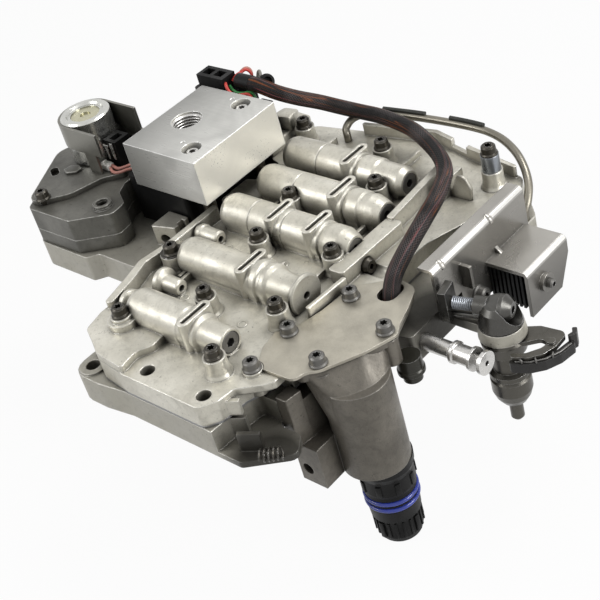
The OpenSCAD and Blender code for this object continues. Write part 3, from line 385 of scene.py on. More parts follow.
def milled_finish(name, tone, along, painted_shade_ends):
    """Milled aluminium: clouded sheen, faint tool lines, painted highlights on the rims and on faces towards
    +X, painted shade in corners, and a painted shade that makes it duller towards one end.
    """
    f = Finish(name)
    normal = f.rounded(1.0 * MM)
    lines = f.noise(1.0, 4, 0.7, f.mapped(along))
    clouds = f.noise(22, 4, 0.55, twist=0.8)
    skin = f.blend(f.span(lines, 0.32, 0.68), [c * 0.92 for c in tone], [min(1, c * 1.05) for c in tone])
    skin = f.blend(f.span(clouds, 0.38, 0.60, 0.0, 0.7), skin, [c * 0.62 for c in tone])
    # Painted shade: darker towards the low end of the given span along X.
    skin = f.blend(f.span(f.axis(f.place, "X"), *painted_shade_ends, 0.85, 0.05), skin, [c * 0.30 for c in tone])
    # Painted light: faces turned towards +X are lighter and warmer.
    skin = f.blend(f.span(f.facing("X"), 0.4, 0.9, 0.0, 0.65), skin, (0.90, 0.87, 0.77))
    # Painted shade: darker in corners.
    skin = f.blend(f.span(f.open_sky(5 * MM), 0.2, 0.75, 0.7, 0.0), skin, [c * 0.2 for c in tone])
    # Painted highlight: near white along the rims.
    skin = f.blend(f.sum("MULTIPLY", f.edges(normal), 0.9), skin, (0.95, 0.95, 0.93))
    rough = f.span(lines, 0.3, 0.7, 0.34, 0.25)
    rough = f.sum("ADD", rough, f.span(clouds, 0.4, 0.65, 0.0, 0.16))
    return f.done(skin, rough, f.bump(lines, 0.05, 0.12 * MM, normal), 0.4, Anisotropic=0.4)


def steel_finish(name, tone, gloss=0.3, metal=0.9, stain=0.35, lift=0.5):
    """Plated or oxided steel: clouded colour, fine scratches, painted shade in corners, and bright worn edges
    that are partly painted highlight.
    """
    f = Finish(name)
    normal = f.rounded(0.4 * MM)
    clouds = f.noise(70, 5, 0.65)
    fine = f.noise(1600, 2)
    skin = f.blend(f.span(clouds, 0.35, 0.7, 0.0, stain), tone, [c * 0.55 for c in tone])
    skin = f.blend(f.span(fine, 0.5, 0.8, 0.0, 0.3), skin, [min(1, c * 1.35 + 0.02) for c in tone])
    # Painted shade: darker in corners.
    open_sky = f.open_sky(6 * MM)
    skin = f.blend(f.span(open_sky, 0.2, 0.75, 0.7, 0.0), skin, [c * 0.25 for c in tone])
    # Worn edges, made lighter still by a painted highlight where they stand open.
    rubbed_and_highlit = f.sum("MULTIPLY", f.edges(normal), f.span(open_sky, 0.4, 0.8))
    rubbed_and_highlit = f.sum("MULTIPLY", rubbed_and_highlit, f.span(f.noise(400, 3), 0.35, 0.6, 0.3, 1.0))
    skin = f.blend(f.sum("MULTIPLY", rubbed_and_highlit, lift), skin, [min(1, c * 0.5 + 0.45) for c in tone])
    rough = f.span(clouds, 0.3, 0.75, gloss + 0.12, gloss - 0.05)
    return f.done(skin, rough, f.bump(fine, 0.08, 0.1 * MM, normal), metal)


def zinc_finish(name, tone, foot, head):
    """Plated sheet: a painted highlight along the folds, painted shade on upright faces that deepens from the
    head height down to the foot height, painted shade in corners, satin sheen.
    """
    f = Finish(name)
    normal = f.rounded(0.5 * MM)
    clouds = f.noise(28, 4, 0.5, twist=0.4)
    fine = f.noise(1500, 2)
    skin = f.blend(f.span(clouds, 0.36, 0.66, 0.0, 0.45), tone, [c * 0.66 for c in tone])
    # Painted shade: upright faces darken, more towards the foot height.
    upright = f.span(f.facing("Z"), 0.1, 0.6, 1.0, 0.0)
    low = f.span(f.axis(f.place, "Z"), foot, head, 0.85, 0.25)
    skin = f.blend(f.sum("MULTIPLY", upright, low), skin, [c * 0.22 for c in tone])
    # Painted shade: darker in corners.
    skin = f.blend(f.span(f.open_sky(7 * MM), 0.2, 0.7, 0.75, 0.0), skin, [c * 0.12 for c in tone])
    # Painted highlight: a bright band where the normal leans between up and +X, on the rounded folds.
    fold = f.span(f.sum("MULTIPLY", f.facing("X"), f.facing("Z")), 0.10, 0.40)
    skin = f.blend(f.sum("MULTIPLY", fold, 0.8), skin, (0.80, 0.79, 0.76))
    rough = f.span(clouds, 0.3, 0.7, 0.34, 0.22)
    return f.done(skin, rough, f.bump(fine, 0.06, 0.1 * MM, normal), 0.75)


def plastic_finish(name, tone, gloss=0.42, radius=0.4 * MM, grain=900, shine=0.3):
    """Moulded plastic or rubber with a fine spark-eroded grain and dull handling marks."""
    f = Finish(name)
    normal = f.rounded(radius)
    grains = f.noise(grain, 3, 0.6)
    clouds = f.noise(55, 4, 0.6)
    lit = [min(1, c * 1.25 + 0.004) for c in tone]
    skin = f.blend(f.span(clouds, 0.35, 0.7), [c * 0.75 for c in tone], lit)
    skin = f.blend(f.span(f.edges(normal), 0, 1, 0.0, 0.35), skin, [min(1, c * 1.6 + 0.05) for c in tone])
    rough = f.span(clouds, 0.3, 0.7, gloss + 0.12, gloss - 0.06)
    return f.done(skin, rough, f.bump(grains, 0.14, 0.16 * MM, normal), Specular_IOR_Level=shine)


def braid_finish(name, along, round_it):
    """Woven black sleeve over coloured leads, on the tube's own UV map, with its sides in millimetres."""
    f = Finish(name)
    uv = f.coords.outputs["UV"]
    strands = f.noise(1.0, 2, 0.5, f.mapped((2.0, 7.0, 1.0), source=uv), 0.8)
    skin = f.ramp(strands, [
        (0.30, (0.005, 0.005, 0.005)), (0.42, (0.012, 0.011, 0.011)), (0.462, (0.022, 0.018, 0.017)),
        (0.474, (0.17, 0.055, 0.020)), (0.482, (0.10, 0.034, 0.016)), (0.492, (0.012, 0.011, 0.011)),
        (0.550, (0.018, 0.017, 0.018)), (0.566, (0.17, 0.045, 0.045)), (0.578, (0.11, 0.085, 0.085)),
        (0.594, (0.014, 0.013, 0.014)), (0.68, (0.006, 0.006, 0.006))])
    weave = None
    for lean in (0.95, -0.95):
        wave = f.tree.nodes.new("ShaderNodeTexWave")
        wave.inputs["Scale"].default_value = 0.20
        f.join(f.mapped((along, round_it, 1), (0, 0, lean), uv), wave.inputs["Vector"])
        weave = wave.outputs[1] if weave is None else f.sum("MAXIMUM", weave, wave.outputs[1])
    # Painted highlight: lighter weave crests in patches.
    crest_sheen = f.span(f.noise(38, 3), 0.42, 0.62)
    skin = f.blend(f.sum("MULTIPLY", f.span(weave, 0.80, 0.98, 0.0, 0.75), crest_sheen), skin, (0.12, 0.105, 0.105))
    skin = f.blend(f.span(weave, 0.35, 0.05, 0.0, 0.5), skin, (0.008, 0.008, 0.008))
    height = f.sum("ADD", f.sum("MULTIPLY", strands, 0.7), f.sum("MULTIPLY", weave, 0.5))
    rough = f.span(strands, 0.3, 0.7, 0.55, 0.36)
    return f.done(skin, rough, f.bump(height, 0.6, 0.9 * MM), 0.0, Specular_IOR_Level=0.10)


FINISHES = {}
# Steel finishes by name: colour, and gloss, metal, stain and edge lift (the brightness of worn edges, partly
# painted highlight) where they aren't the usual
STEELS = {
    "separator_sheet": dict(tone=(0.30, 0.30, 0.30), gloss=0.35),
    "black_oxide": dict(tone=(0.046, 0.041, 0.032), gloss=0.27, metal=0.7, lift=0.9),
    "phosphate": dict(tone=(0.13, 0.126, 0.118), gloss=0.40, metal=0.75, lift=0.7),
    "clamp_steel": dict(tone=(0.085, 0.083, 0.077), gloss=0.25, metal=0.85, lift=0.9),
    "lever_steel": dict(tone=(0.090, 0.085, 0.074), gloss=0.27, metal=0.85, lift=0.9),
    "polished_steel": dict(tone=(0.62, 0.61, 0.59), gloss=0.22, stain=0.3),
    "bolt_steel": dict(tone=(0.30, 0.32, 0.35), gloss=0.28),
    "brass_face": dict(tone=(0.52, 0.50, 0.36), gloss=0.25, metal=0.95),
    "olive_steel": dict(tone=(0.022, 0.021, 0.015), gloss=0.28, metal=0.4, lift=0.7),
    "strap_steel": dict(tone=(0.22, 0.215, 0.19), gloss=0.32),
    "can_plate": dict(tone=(0.58, 0.58, 0.55), gloss=0.2, metal=0.95, stain=0.3),
    "tube_steel": dict(tone=(0.21, 0.195, 0.16), metal=0.85),
}
# Plastic and rubber finishes by name, in the same way
PLASTICS = {
    "black_mould": dict(tone=(0.0045, 0.0045, 0.0045), shine=0.14),
    "black_comb": dict(tone=(0.016, 0.015, 0.014), gloss=0.32),
    "white_nylon": dict(tone=(0.72, 0.71, 0.67), gloss=0.36),
    "red_lead": dict(tone=(0.42, 0.045, 0.035), gloss=0.34, radius=0.1 * MM),
    "rose_lead": dict(tone=(0.38, 0.17, 0.14), gloss=0.36, radius=0.1 * MM),
    "green_lead": dict(tone=(0.035, 0.20, 0.055), gloss=0.36, radius=0.1 * MM),
    "grey_lead": dict(tone=(0.20, 0.195, 0.175), gloss=0.38, radius=0.1 * MM),
    "strip_rubber": dict(tone=(0.022, 0.023, 0.019), gloss=0.5),
}


def build_finishes():
    """Every finish once, by its name."""
    look = settings("finishes")
    block_ends = [corner.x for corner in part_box("filter_block")]
    FINISHES.update({
        "housing_cast": cast_finish(
            "housing_cast", look.cast_pale, look.cast_deep, shadow_spots=[((108, 58, 24), 26)]),
        "plate_cast": cast_finish(
            "plate_cast", look.plate_pale, Vector(look.cast_deep) * 0.8, 0.42,
            shadow_spots=[((88, -72, 8), 36), ((112, 60, 18), 36)]),
        "governor_cast": cast_finish("governor_cast", look.governor, Vector(look.governor) * 0.62, 0.40),
        "tower_cast": cast_finish("tower_cast", look.tower, Vector(look.tower) * 0.6, 0.42, 0.2, 0.7),
        "block_milled": milled_finish("block_milled", look.billet, (30, 700, 700), block_ends),
        "cover_steel": steel_finish("cover_steel", look.cover, gloss=0.36, stain=0.5),
        "zinc_sheet": zinc_finish("zinc_sheet", look.zinc, 0.0, 50 * MM),
        "dart_zinc": steel_finish("dart_zinc", look.zinc, gloss=0.26, metal=0.8, lift=0.2),
        "seal_rubber": plastic_finish("seal_rubber", look.seal, 0.2, 0.2 * MM, 1500, 0.5),
        "harness_braid": braid_finish("harness_braid", 385, 34.5),
    })
    FINISHES.update({name: steel_finish(name, **given) for name, given in STEELS.items()})
    FINISHES.update({name: plastic_finish(name, **given) for name, given in PLASTICS.items()})


NODE_FINISHES = {
    "transfer_plate": "plate_cast", "separator_plate": "separator_sheet", "upper_housing": "housing_cast",
    "end_plugs": "phosphate", "end_disc": "plate_cast", "housing_screws": "black_oxide",
    "washer_bolt": "black_oxide", "spacer_bolt": "black_oxide", "spacer_sleeve": "bolt_steel",
    "cover_screws": "phosphate", "wall_plug": "black_oxide", "cover_plate": "cover_steel",
    "connector_tower": "tower_cast",
    "tower_cap": "olive_steel", "case_connector": "black_mould", "connector_seals": "seal_rubber",
    "filter_block": "block_milled", "block_screws": "polished_steel", "solenoid_base": "black_mould",
    "block_posts": "black_oxide", "harness_plug_a": "black_mould", "harness_plug_b": "black_mould",
    "governor_base": "governor_cast", "governor_body": "governor_cast", "retainer_plate": "governor_cast",
    "retainer_screw": "black_oxide", "solenoid_can": "can_plate", "solenoid_core": "brass_face",
    "solenoid_strap": "strap_steel", "solenoid_plug": "black_mould", "adjust_bracket": "zinc_sheet",
    "spring_boot": "black_mould",
    "bracket_screws": "phosphate", "adjusting_screw": "phosphate", "regulator_valve": "polished_steel",
    "regulator_spring": "phosphate", "manual_lever": "lever_steel", "selector_comb": "black_comb",
    "throttle_lever": "clamp_steel", "clamp_bolt": "clamp_steel", "clamp_nut": "clamp_steel",
    "manual_valve": "polished_steel", "harness_sleeve": "harness_braid", "boost_tube": "tube_steel",
    **{"shift_valve_%d" % i: "polished_steel" for i in range(1, 6)},
    **{"valve_spring_%d" % i: "phosphate" for i in range(1, 6)},
}


def add_piece(name, mesh, finish, body="housing"):
    """Links a finished mesh as a piece that moves with a body."""
    piece = bpy.data.objects.new(name, mesh)
    bpy.context.scene.collection.objects.link(piece)
    mesh.materials.clear()
    mesh.materials.append(FINISHES[finish])
    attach(piece, body)
    return piece


def mesh_of(name, shape, smooth=35):
    """A bmesh made a mesh with its smooth faces and sharp edges."""
    bmesh.ops.recalc_face_normals(shape, faces=shape.faces)
    mesh = bpy.data.meshes.new(name)
    shape.to_mesh(mesh)
    shape.free()
    mesh.shade_smooth()
    mesh.set_sharp_from_angle(angle=math.radians(smooth))
    return mesh


def smooth_route(points, steps=5):
    """Points in metres on a smooth curve through a route's points."""
    route = [Vector(p) * MM for p in points]
    ends = [2 * route[0] - route[1]] + route + [2 * route[-1] - route[-2]]
    line = []
    for i in range(1, len(ends) - 2):
        p0, p1, p2, p3 = ends[i - 1:i + 3]
        for k in range(steps):
            t = k / steps
            line.append(0.5 * (
                2 * p1 + (p2 - p0) * t + (2 * p0 - 5 * p1 + 4 * p2 - p3) * t * t
                + (3 * p1 - p0 - 3 * p2 + p3) * t ** 3))
    return line + [route[-1]]


def tube_mesh(name, line, diameter, around):
    """A closed tube along a line, with a UV map whose U runs along it."""
    curve = bpy.data.curves.new(name, "CURVE")
    curve.dimensions = "3D"
    curve.bevel_depth = diameter / 2
    curve.bevel_resolution = max(1, around // 4 - 1)
    curve.use_fill_caps = True
    spline = curve.splines.new("POLY")
    spline.points.add(len(line) - 1)
    for point, place in zip(spline.points, line):
        point.co = (*place, 1)
    holder = bpy.data.objects.new(name, curve)
    bpy.context.scene.collection.objects.link(holder)
    bpy.context.view_layer.update()
    mesh = bpy.data.meshes.new_from_object(holder.evaluated_get(bpy.context.evaluated_depsgraph_get()))
    bpy.data.objects.remove(holder)
    bpy.data.curves.remove(curve)
    mesh.shade_smooth()
    mesh.set_sharp_from_angle(angle=math.radians(50))
    return mesh


def add_shape(name, shape, finish, body="housing"):
    """Links a bmesh as a piece that moves with a body."""
    return add_piece(name, mesh_of(name, shape), finish, body)


def add_tube(name, line, diameter, around, finish):
    """Links a tube along a line as a piece of the housing."""
    return add_piece(name, tube_mesh(name, line, diameter, around), finish)


def coil_line(start, end, radius, turns, steps=18):
    """Points in metres of a helix about the line between two places in millimetres."""
    along = (end - start).normalized()
    side = along.cross(Vector((0, 0, 1)))
    rise = side.cross(along)
    line = []
    for i in range(turns * steps + 1):
        angle = math.tau * i / steps
        spoke = side * math.cos(angle) + rise * math.sin(angle)
        line.append((start.lerp(end, i / (turns * steps)) + spoke * radius) * MM)
    return line


def spun(profile, steps=32):
    """A shape turned from a profile of radius and height in millimetres."""
    shape = bmesh.new()
    verts = [shape.verts.new((r * MM, 0, h * MM)) for r, h in profile]
    edges = [shape.edges.new(pair) for pair in zip(verts, verts[1:])]
    bmesh.ops.spin(
        shape, geom=verts + edges, cent=(0, 0, 0), axis=(0, 0, 1), angle=math.tau, steps=steps,
        use_merge=True)
    bmesh.ops.remove_doubles(shape, verts=shape.verts, dist=0.001 * MM)
    return shape


def threaded(root, crest, pitch, rise, steps=28):
    """A helical ridge about Z from a root radius to a crest radius, in millimetres."""
    shape = bmesh.new()
    section = ((root, 0), (crest, 0.38), (crest, 0.5), (root, 0.88))
    verts = [shape.verts.new((r * MM, 0, h * pitch * MM)) for r, h in section]
    edges = [shape.edges.new(pair) for pair in zip(verts, verts[1:])]
    turns = rise / pitch - 1
    bmesh.ops.spin(
        shape, geom=verts + edges, cent=(0, 0, 0), axis=(0, 0, 1), angle=math.tau * turns,
        steps=round(steps * turns), dvec=(0, 0, pitch * MM / steps))
    return shape


def rounded_off(shape, rounding):
    """A shape with its edges rounded by a radius in millimetres."""
    bmesh.ops.bevel(
        shape, geom=shape.edges[:], offset=rounding * MM, segments=2, profile=0.5, affect="EDGES",
        material=-1)
    return shape


def boxed(low, high, rounding=0.4):
    """A box between two corners in millimetres, with rounded edges."""
    shape = bmesh.new()
    low, high = Vector(low), Vector(high)
    bmesh.ops.create_cube(shape, size=1)
    bmesh.ops.scale(shape, vec=(high - low) * MM, verts=shape.verts)
    bmesh.ops.translate(shape, vec=(low + high) * MM / 2, verts=shape.verts)
    return rounded_off(shape, rounding)


def slabbed(outline, low, high, rounding=0.3):
    """An outline in millimetres raised between two heights, with rounded rims."""
    shape = bmesh.new()
    face = shape.faces.new([shape.verts.new((x * MM, y * MM, low * MM)) for x, y in outline])
    top = bmesh.ops.extrude_face_region(shape, geom=[face])["geom"]
    bmesh.ops.translate(
        shape, vec=(0, 0, (high - low) * MM), verts=[v for v in top if isinstance(v, bmesh.types.BMVert)])
    return rounded_off(shape, rounding)


def placed(shape, place, along=(0, 0, 1), turn=0.0):
    """A shape turned about Z, its Z axis then laid along a direction, and moved to a place in millimetres."""
    lay = Vector((0, 0, 1)).rotation_difference(Vector(along)).to_matrix().to_4x4()
    where = Matrix.Translation(Vector(place) * MM) @ lay @ Matrix.Rotation(turn, 4, "Z")
    bmesh.ops.transform(shape, matrix=where, verts=shape.verts)
    return shape


def joined(shapes):
    """Several shapes as one."""
    whole = bmesh.new()
    for shape in shapes:
        part = bpy.data.meshes.new("part")
        shape.to_mesh(part)
        shape.free()
        whole.from_mesh(part)
        bpy.data.meshes.remove(part)
    return whole


def middle(node):
    """Middle of a solid's box, in millimetres."""
    low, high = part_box(node)
    return (low + high) / 2 / MM


class VALVEBODY_OT_finishes(bpy.types.Operator):
    """Makes the finishes and puts them on the part's own solids"""

    bl_idname = "valve_body.finishes"
    bl_label = "Finishes"

    def execute(self, context):
        """Gives every solid its finish."""
        build_finishes()
        for name, solid in NODES.items():
            solid.data.materials.clear()
            solid.data.materials.append(FINISHES[NODE_FINISHES[name]])
        return {"FINISHED"}


class VALVEBODY_OT_harness(bpy.types.Operator):
    """Lays the braided harness from the block's plug to the cover plate"""

    bl_idname = "valve_body.harness"
    bl_label = "Harness"

    def execute(self, context):
        sizes = settings("sizes")
        line = smooth_route(HARNESS_ROUTE)
        sleeve = add_tube("harness", line, sizes.harness, 28, "harness_braid")
        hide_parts("harness_sleeve")
        return {"FINISHED"}


class VALVEBODY_OT_boost_tube(bpy.types.Operator):
    """Bends the steel boost tube round the back of the housing"""

    bl_idname = "valve_body.boost_tube"
    bl_label = "Boost tube"

    def execute(self, context):
        """Sweeps the tube along its route."""
        line = smooth_route(TUBE_ROUTE)
        tube = add_tube("boost_pipe", line, settings("sizes").tube, 20, "tube_steel")
        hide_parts("boost_tube")
        return {"FINISHED"}


class VALVEBODY_OT_tube_strips(bpy.types.Operator):
    """Lays two rubber strips along the top of the boost tube"""

    bl_idname = "valve_body.tube_strips"
    bl_label = "Tube strips"

    def execute(self, context):
        """Follows the tube's route at a small height."""
        tube = settings("sizes").tube
        lift = Vector((0, 0.8 * MM, tube / 2 + 0.6 * MM))
        for number, (start, end) in enumerate(STRIP_SPANS, 1):
            line = [p + lift for p in smooth_route(TUBE_ROUTE) if start * MM <= p.x <= end * MM]
            name = "tube_strip_%d" % number
            add_tube(name, line, 3.2 * MM, 16, "strip_rubber")
        return {"FINISHED"}


class VALVEBODY_OT_wires(bpy.types.Operator):
    """Runs the loose wires at the plugs and at the solenoid's clip"""

    bl_idname = "valve_body.wires"
    bl_label = "Loose wires"

    def execute(self, context):
        lead = settings("sizes").lead
        for name, (finish, route) in WIRES.items():
            line = smooth_route(route)
            wire = add_tube(name, line, lead, 12, finish)
        return {"FINISHED"}


class VALVEBODY_OT_plugs(bpy.types.Operator):
    """Adds the round plug beside the harness, the white clip and the solenoid's two blades"""

    bl_idname = "valve_body.plugs"
    bl_label = "Plugs and clip"

    def execute(self, context):
        """Builds the small connector pieces."""
        body = spun([
            (0, 0), (4.4, 0), (5.0, 0.6), (5.0, 3.2), (5.6, 3.6), (5.6, 6.6), (5.0, 7), (5.0, 9.4),
            (4.2, 10), (3.2, 10), (3.0, 6), (0, 6)], 28)
        placed(body, (-95.5, 155.8, 83.8), (0.62, -0.35, 0.40))
        add_shape("round_plug", body, "black_mould")
        clip = joined([
            boxed((-181, 58.6, 52.05), (-172.4, 64.4, 56.4), 0.5),
            boxed((-180.4, 59.4, 56.2), (-178.4, 63.6, 57.6), 0.3),
            boxed((-175.6, 59.4, 56.2), (-173.2, 63.6, 57.2), 0.3)])
        add_shape("white_clip", clip, "white_nylon")
        blades = joined([
            boxed((-178.6, 65.8, 57), (-176.2, 67, 67), 0.2),
            boxed((-172.6, 65.8, 58), (-169.8, 67, 71), 0.2),
            boxed((-180, 65.4, 67), (-174.6, 67.2, 69), 0.3)])
        add_shape("solenoid_blades", blades, "polished_steel")
        return {"FINISHED"}


class VALVEBODY_OT_threads(bpy.types.Operator):
    """Cuts the port's thread and rolls the clamp bolt's thread"""

    bl_idname = "valve_body.threads"
    bl_label = "Threads"

    def execute(self, context):
        """Builds both helical ridges."""
        low, high = (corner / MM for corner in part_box("filter_block"))
        port = (low.x + 0.34 * (high.x - low.x), (low.y + high.y) / 2, high.z - PORT_DEPTH + 0.2)
        thread = placed(threaded(PORT_RADIUS + 0.1, PORT_RADIUS - 1.1, 2.2, PORT_DEPTH - 0.6), port)
        add_shape("port_thread", thread, "polished_steel")
        along = Vector((math.cos(THROTTLE_TURN), math.sin(THROTTLE_TURN), 0))
        for name, start, rise in (("bolt_thread", -28.8, 14.6), ("bolt_tip_thread", -36.6, 2.9)):
            place = SELECTOR_AXIS + along * start + Vector((0, 0, BOLT_HEIGHT))
            ridge = placed(threaded(3.45, 3.95, 1.25, rise, 20), place, along)
            add_shape(name, ridge, "bolt_steel", "throttle")
        return {"FINISHED"}


class VALVEBODY_OT_connector_ribs(bpy.types.Operator):
    """Puts the keys and grip ribs round the case connector"""

    bl_idname = "valve_body.connector_ribs"
    bl_label = "Connector ribs"

    def execute(self, context):
        """Sets like ribs round the connector's axis."""
        axis = middle("case_connector")
        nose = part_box("case_connector")[0].z / MM
        ribs = []
        for i in range(RIB_COUNT):
            wide, deep = (3.4, 1.5) if i % 5 == 0 else (1.5, 0.9)
            rib = boxed((14.4, -wide / 2, 4.6), (14.9 + deep, wide / 2, 17.4), 0.3)
            ribs.append(placed(rib, (axis.x, axis.y, nose), turn=math.tau * i / RIB_COUNT))
        add_shape("connector_ribs", joined(ribs), "black_mould")
        grips = []
        for i in range(GRIP_COUNT):
            grip = boxed((16.9, -1.8, 0), (18, 1.8, 8.5), 0.4)
            turn = math.tau * (i + 0.3) / GRIP_COUNT
            grips.append(placed(grip, (axis.x, axis.y, nose + 43.4), turn=turn))
        add_shape("connector_grips", joined(grips), "black_mould")
        return {"FINISHED"}


class VALVEBODY_OT_selector_trim(bpy.types.Operator):
    """Adds the steel strip with its tabs on the detent comb"""

    bl_idname = "valve_body.selector_trim"
    bl_label = "Comb strip"

    def execute(self, context):
        """Raises the strip and its tabs on the comb's top face."""
        top = 8.5
        strip = [(37.4, 12.6), (38.6, 12.2), (36.9, 3), (32.6, -5.6), (26.2, -12), (18, -15.6), (17.6, -14.8),
                 (25.5, -11), (31.7, -4.8), (35.8, 3.4)]
        shapes = [slabbed(strip, top, top + 0.9, 0.2)]
        for x, y, turn in ((34.6, -1.4, -1.1), (28.4, -9.6, -0.75), (21.2, -14, -0.4)):
            shapes.append(placed(boxed((-1.5, -0.5, 0), (1.5, 0.5, 2.6), 0.25), (x, y, top), turn=turn))
        for shape in shapes:
            placed(shape, SELECTOR_AXIS)
        add_shape("comb_strip", joined(shapes), "phosphate", "selector")
        return {"FINISHED"}


class VALVEBODY_OT_cast_marks(bpy.types.Operator):
    """Adds the ejector marks on the deck, and the stamped darts and the gusset of the bracket"""

    bl_idname = "valve_body.cast_marks"
    bl_label = "Casting marks"

    def execute(self, context):
        """Sets like marks at their places."""
        places = ((-30, -11), (24, -14), (-40, 40), (8, 42), (-44, 84.5), (4, 84.5), (-44, 121), (30, 151))
        marks = []
        for x, y in places:
            ring = spun([(2.2, -0.4), (2.2, 0.2), (2.5, 0.35), (3.2, 0.35), (3.5, 0.2), (3.5, -0.4)], 24)
            marks.append(placed(ring, (x, y, DECK_HEIGHT)))
        add_shape("ejector_marks", joined(marks), "housing_cast")
        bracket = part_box("adjust_bracket")[1] / MM
        darts = []
        for y in (69.7, 118.6):
            dart = spun([(0, -3.6), (1.3, -3.2), (2.2, -1.9), (2.6, 0), (2.2, 1.9), (1.3, 3.2), (0, 3.6)], 20)
            darts.append(placed(dart, (113.3, y, bracket.z - 2.2), (1, 0, -1)))
        gusset = slabbed([(115.3, 22.9), (121.4, 22.9), (115.3, 28.8)], 0, 2.6, 0.3)
        darts.append(placed(gusset, (0, 120.3, 0), (0, -1, 0)))
        add_shape("bracket_darts", joined(darts), "dart_zinc")
        return {"FINISHED"}


class VALVEBODY_OT_valve_coils(bpy.types.Operator):
    """Winds the valves' springs"""

    bl_idname = "valve_body.valve_coils"
    bl_label = "Valve springs"

    def execute(self, context):
        """Winds each coil inside its solid's box."""
        for node, (joint, travel, wire, turns) in SPRINGS.items():
            low, high = (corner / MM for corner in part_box(node))
            axis = (low + high) / 2
            start, end = axis.copy(), axis.copy()
            start.x, end.x = low.x + wire / 2, high.x - wire / 2
            line = coil_line(start, end, (high.z - low.z - wire) / 2, turns)
            name = node.replace("spring", "coil")
            coil = add_tube(name, line, wire * MM, 8, "phosphate")
            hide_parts(node)
            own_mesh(coil)
        return {"FINISHED"}


class VALVEBODY_OT_deck_fin(bpy.types.Operator):
    """Stands the small cast fin on the deck beside the harness"""

    bl_idname = "valve_body.deck_fin"
    bl_label = "Deck fin"

    def execute(self, context):
        """Raises the fin's outline across its thickness."""
        outline = [(63.4, 35.8), (80, 35.8), (81.4, 45), (78.7, 51.6), (75.6, 53.4), (71.4, 52.6), (67.5, 45)]
        fin = placed(slabbed(outline, 0, 2.6, 0.5), (0, 147.1, 0), (0, -1, 0))
        # The fin takes the transfer plate's darker finish, as painted shade.
        add_shape("deck_fin", fin, "plate_cast")
        return {"FINISHED"}


class VALVEBODY_OT_back_corner(bpy.types.Operator):
    """Adds the cast pad behind the block and the flank of the block's black base"""

    bl_idname = "valve_body.back_corner"
    bl_label = "Back corner"

    def execute(self, context):
        """Raises the pad with its bump, and the flank beside it."""
        pad = [(-85.8, 136), (-95, 139), (-97, 152.5), (-109, 158), (-111, 171), (-104, 181), (-85.8, 180)]
        bump = [(-84.5, 158), (-96, 156), (-100, 161), (-98, 169), (-86, 171), (-84.5, 166)]
        shapes = [slabbed(pad, 18.3, 45, 1.2), slabbed(bump, 44, 56, 2.0)]
        add_shape("back_pad", joined(shapes), "housing_cast")
        flank = boxed((-97.9, 136, 45.2), (-87, 151, 73.8), 0.8)
        add_shape("base_flank", flank, "black_mould")
        return {"FINISHED"}


class VALVEBODY_OT_governor_trim(bpy.types.Operator):
    """Adds the retainer's raised tab, the ring on the governor's boss and the web under the strap"""

    bl_idname = "valve_body.governor_trim"
    bl_label = "Governor trim"

    def execute(self, context):
        """Raises each on the face that carries it."""
        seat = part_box("retainer_plate")[1].z / MM
        tab = [(-208.5, 45), (-203, 42.5), (-196, 46.5), (-195.6, 52), (-201, 54), (-207.5, 51.5)]
        add_shape("retainer_tab", slabbed(tab, seat - 0.2, seat + 1.8, 0.4), "governor_cast")
        ring = spun([(4.3, -0.3), (4.3, 1.5), (4.8, 1.9), (6.4, 1.9), (6.9, 1.5), (6.9, -0.3)], 32)
        placed(ring, (*RING_BOSS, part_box("governor_body")[1].z / MM))
        add_shape("boss_ring", ring, "governor_cast")
        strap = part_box("solenoid_strap")
        back = strap[1].y / MM
        web = boxed((-199, back - 1.7, seat), (-162, back - 0.1, strap[1].z / MM - 17), 0.3)
        add_shape("strap_web", web, "strap_steel")
        return {"FINISHED"}


class VALVEBODY_OT_corner_spring(bpy.types.Operator):
    """Winds the small spring that lies at the plate's front corner, beside the tower's lug"""

    bl_idname = "valve_body.corner_spring"
    bl_label = "Corner spring"

    def execute(self, context):
        """Sweeps the coil about its axis."""
        line = coil_line(Vector((85.0, -75.0, 8.1)), Vector((95.4, -66.6, 8.1)), 3.7, 5)
        add_tube("corner_spring", line, 1.3 * MM, 10, "black_oxide")
        return {"FINISHED"}


def seen_directly(tree):
    """One for camera, glossy and transmission rays."""
    path = tree.nodes.new("ShaderNodeLightPath")
    total = path.outputs["Is Camera Ray"]
    for key in ("Is Glossy Ray", "Is Transmission Ray"):
        node = tree.nodes.new("ShaderNodeMath")
        node.operation = "MAXIMUM"
        tree.links.new(total, node.inputs[0])
        tree.links.new(path.outputs[key], node.inputs[1])
        total = node.outputs[0]
    return total


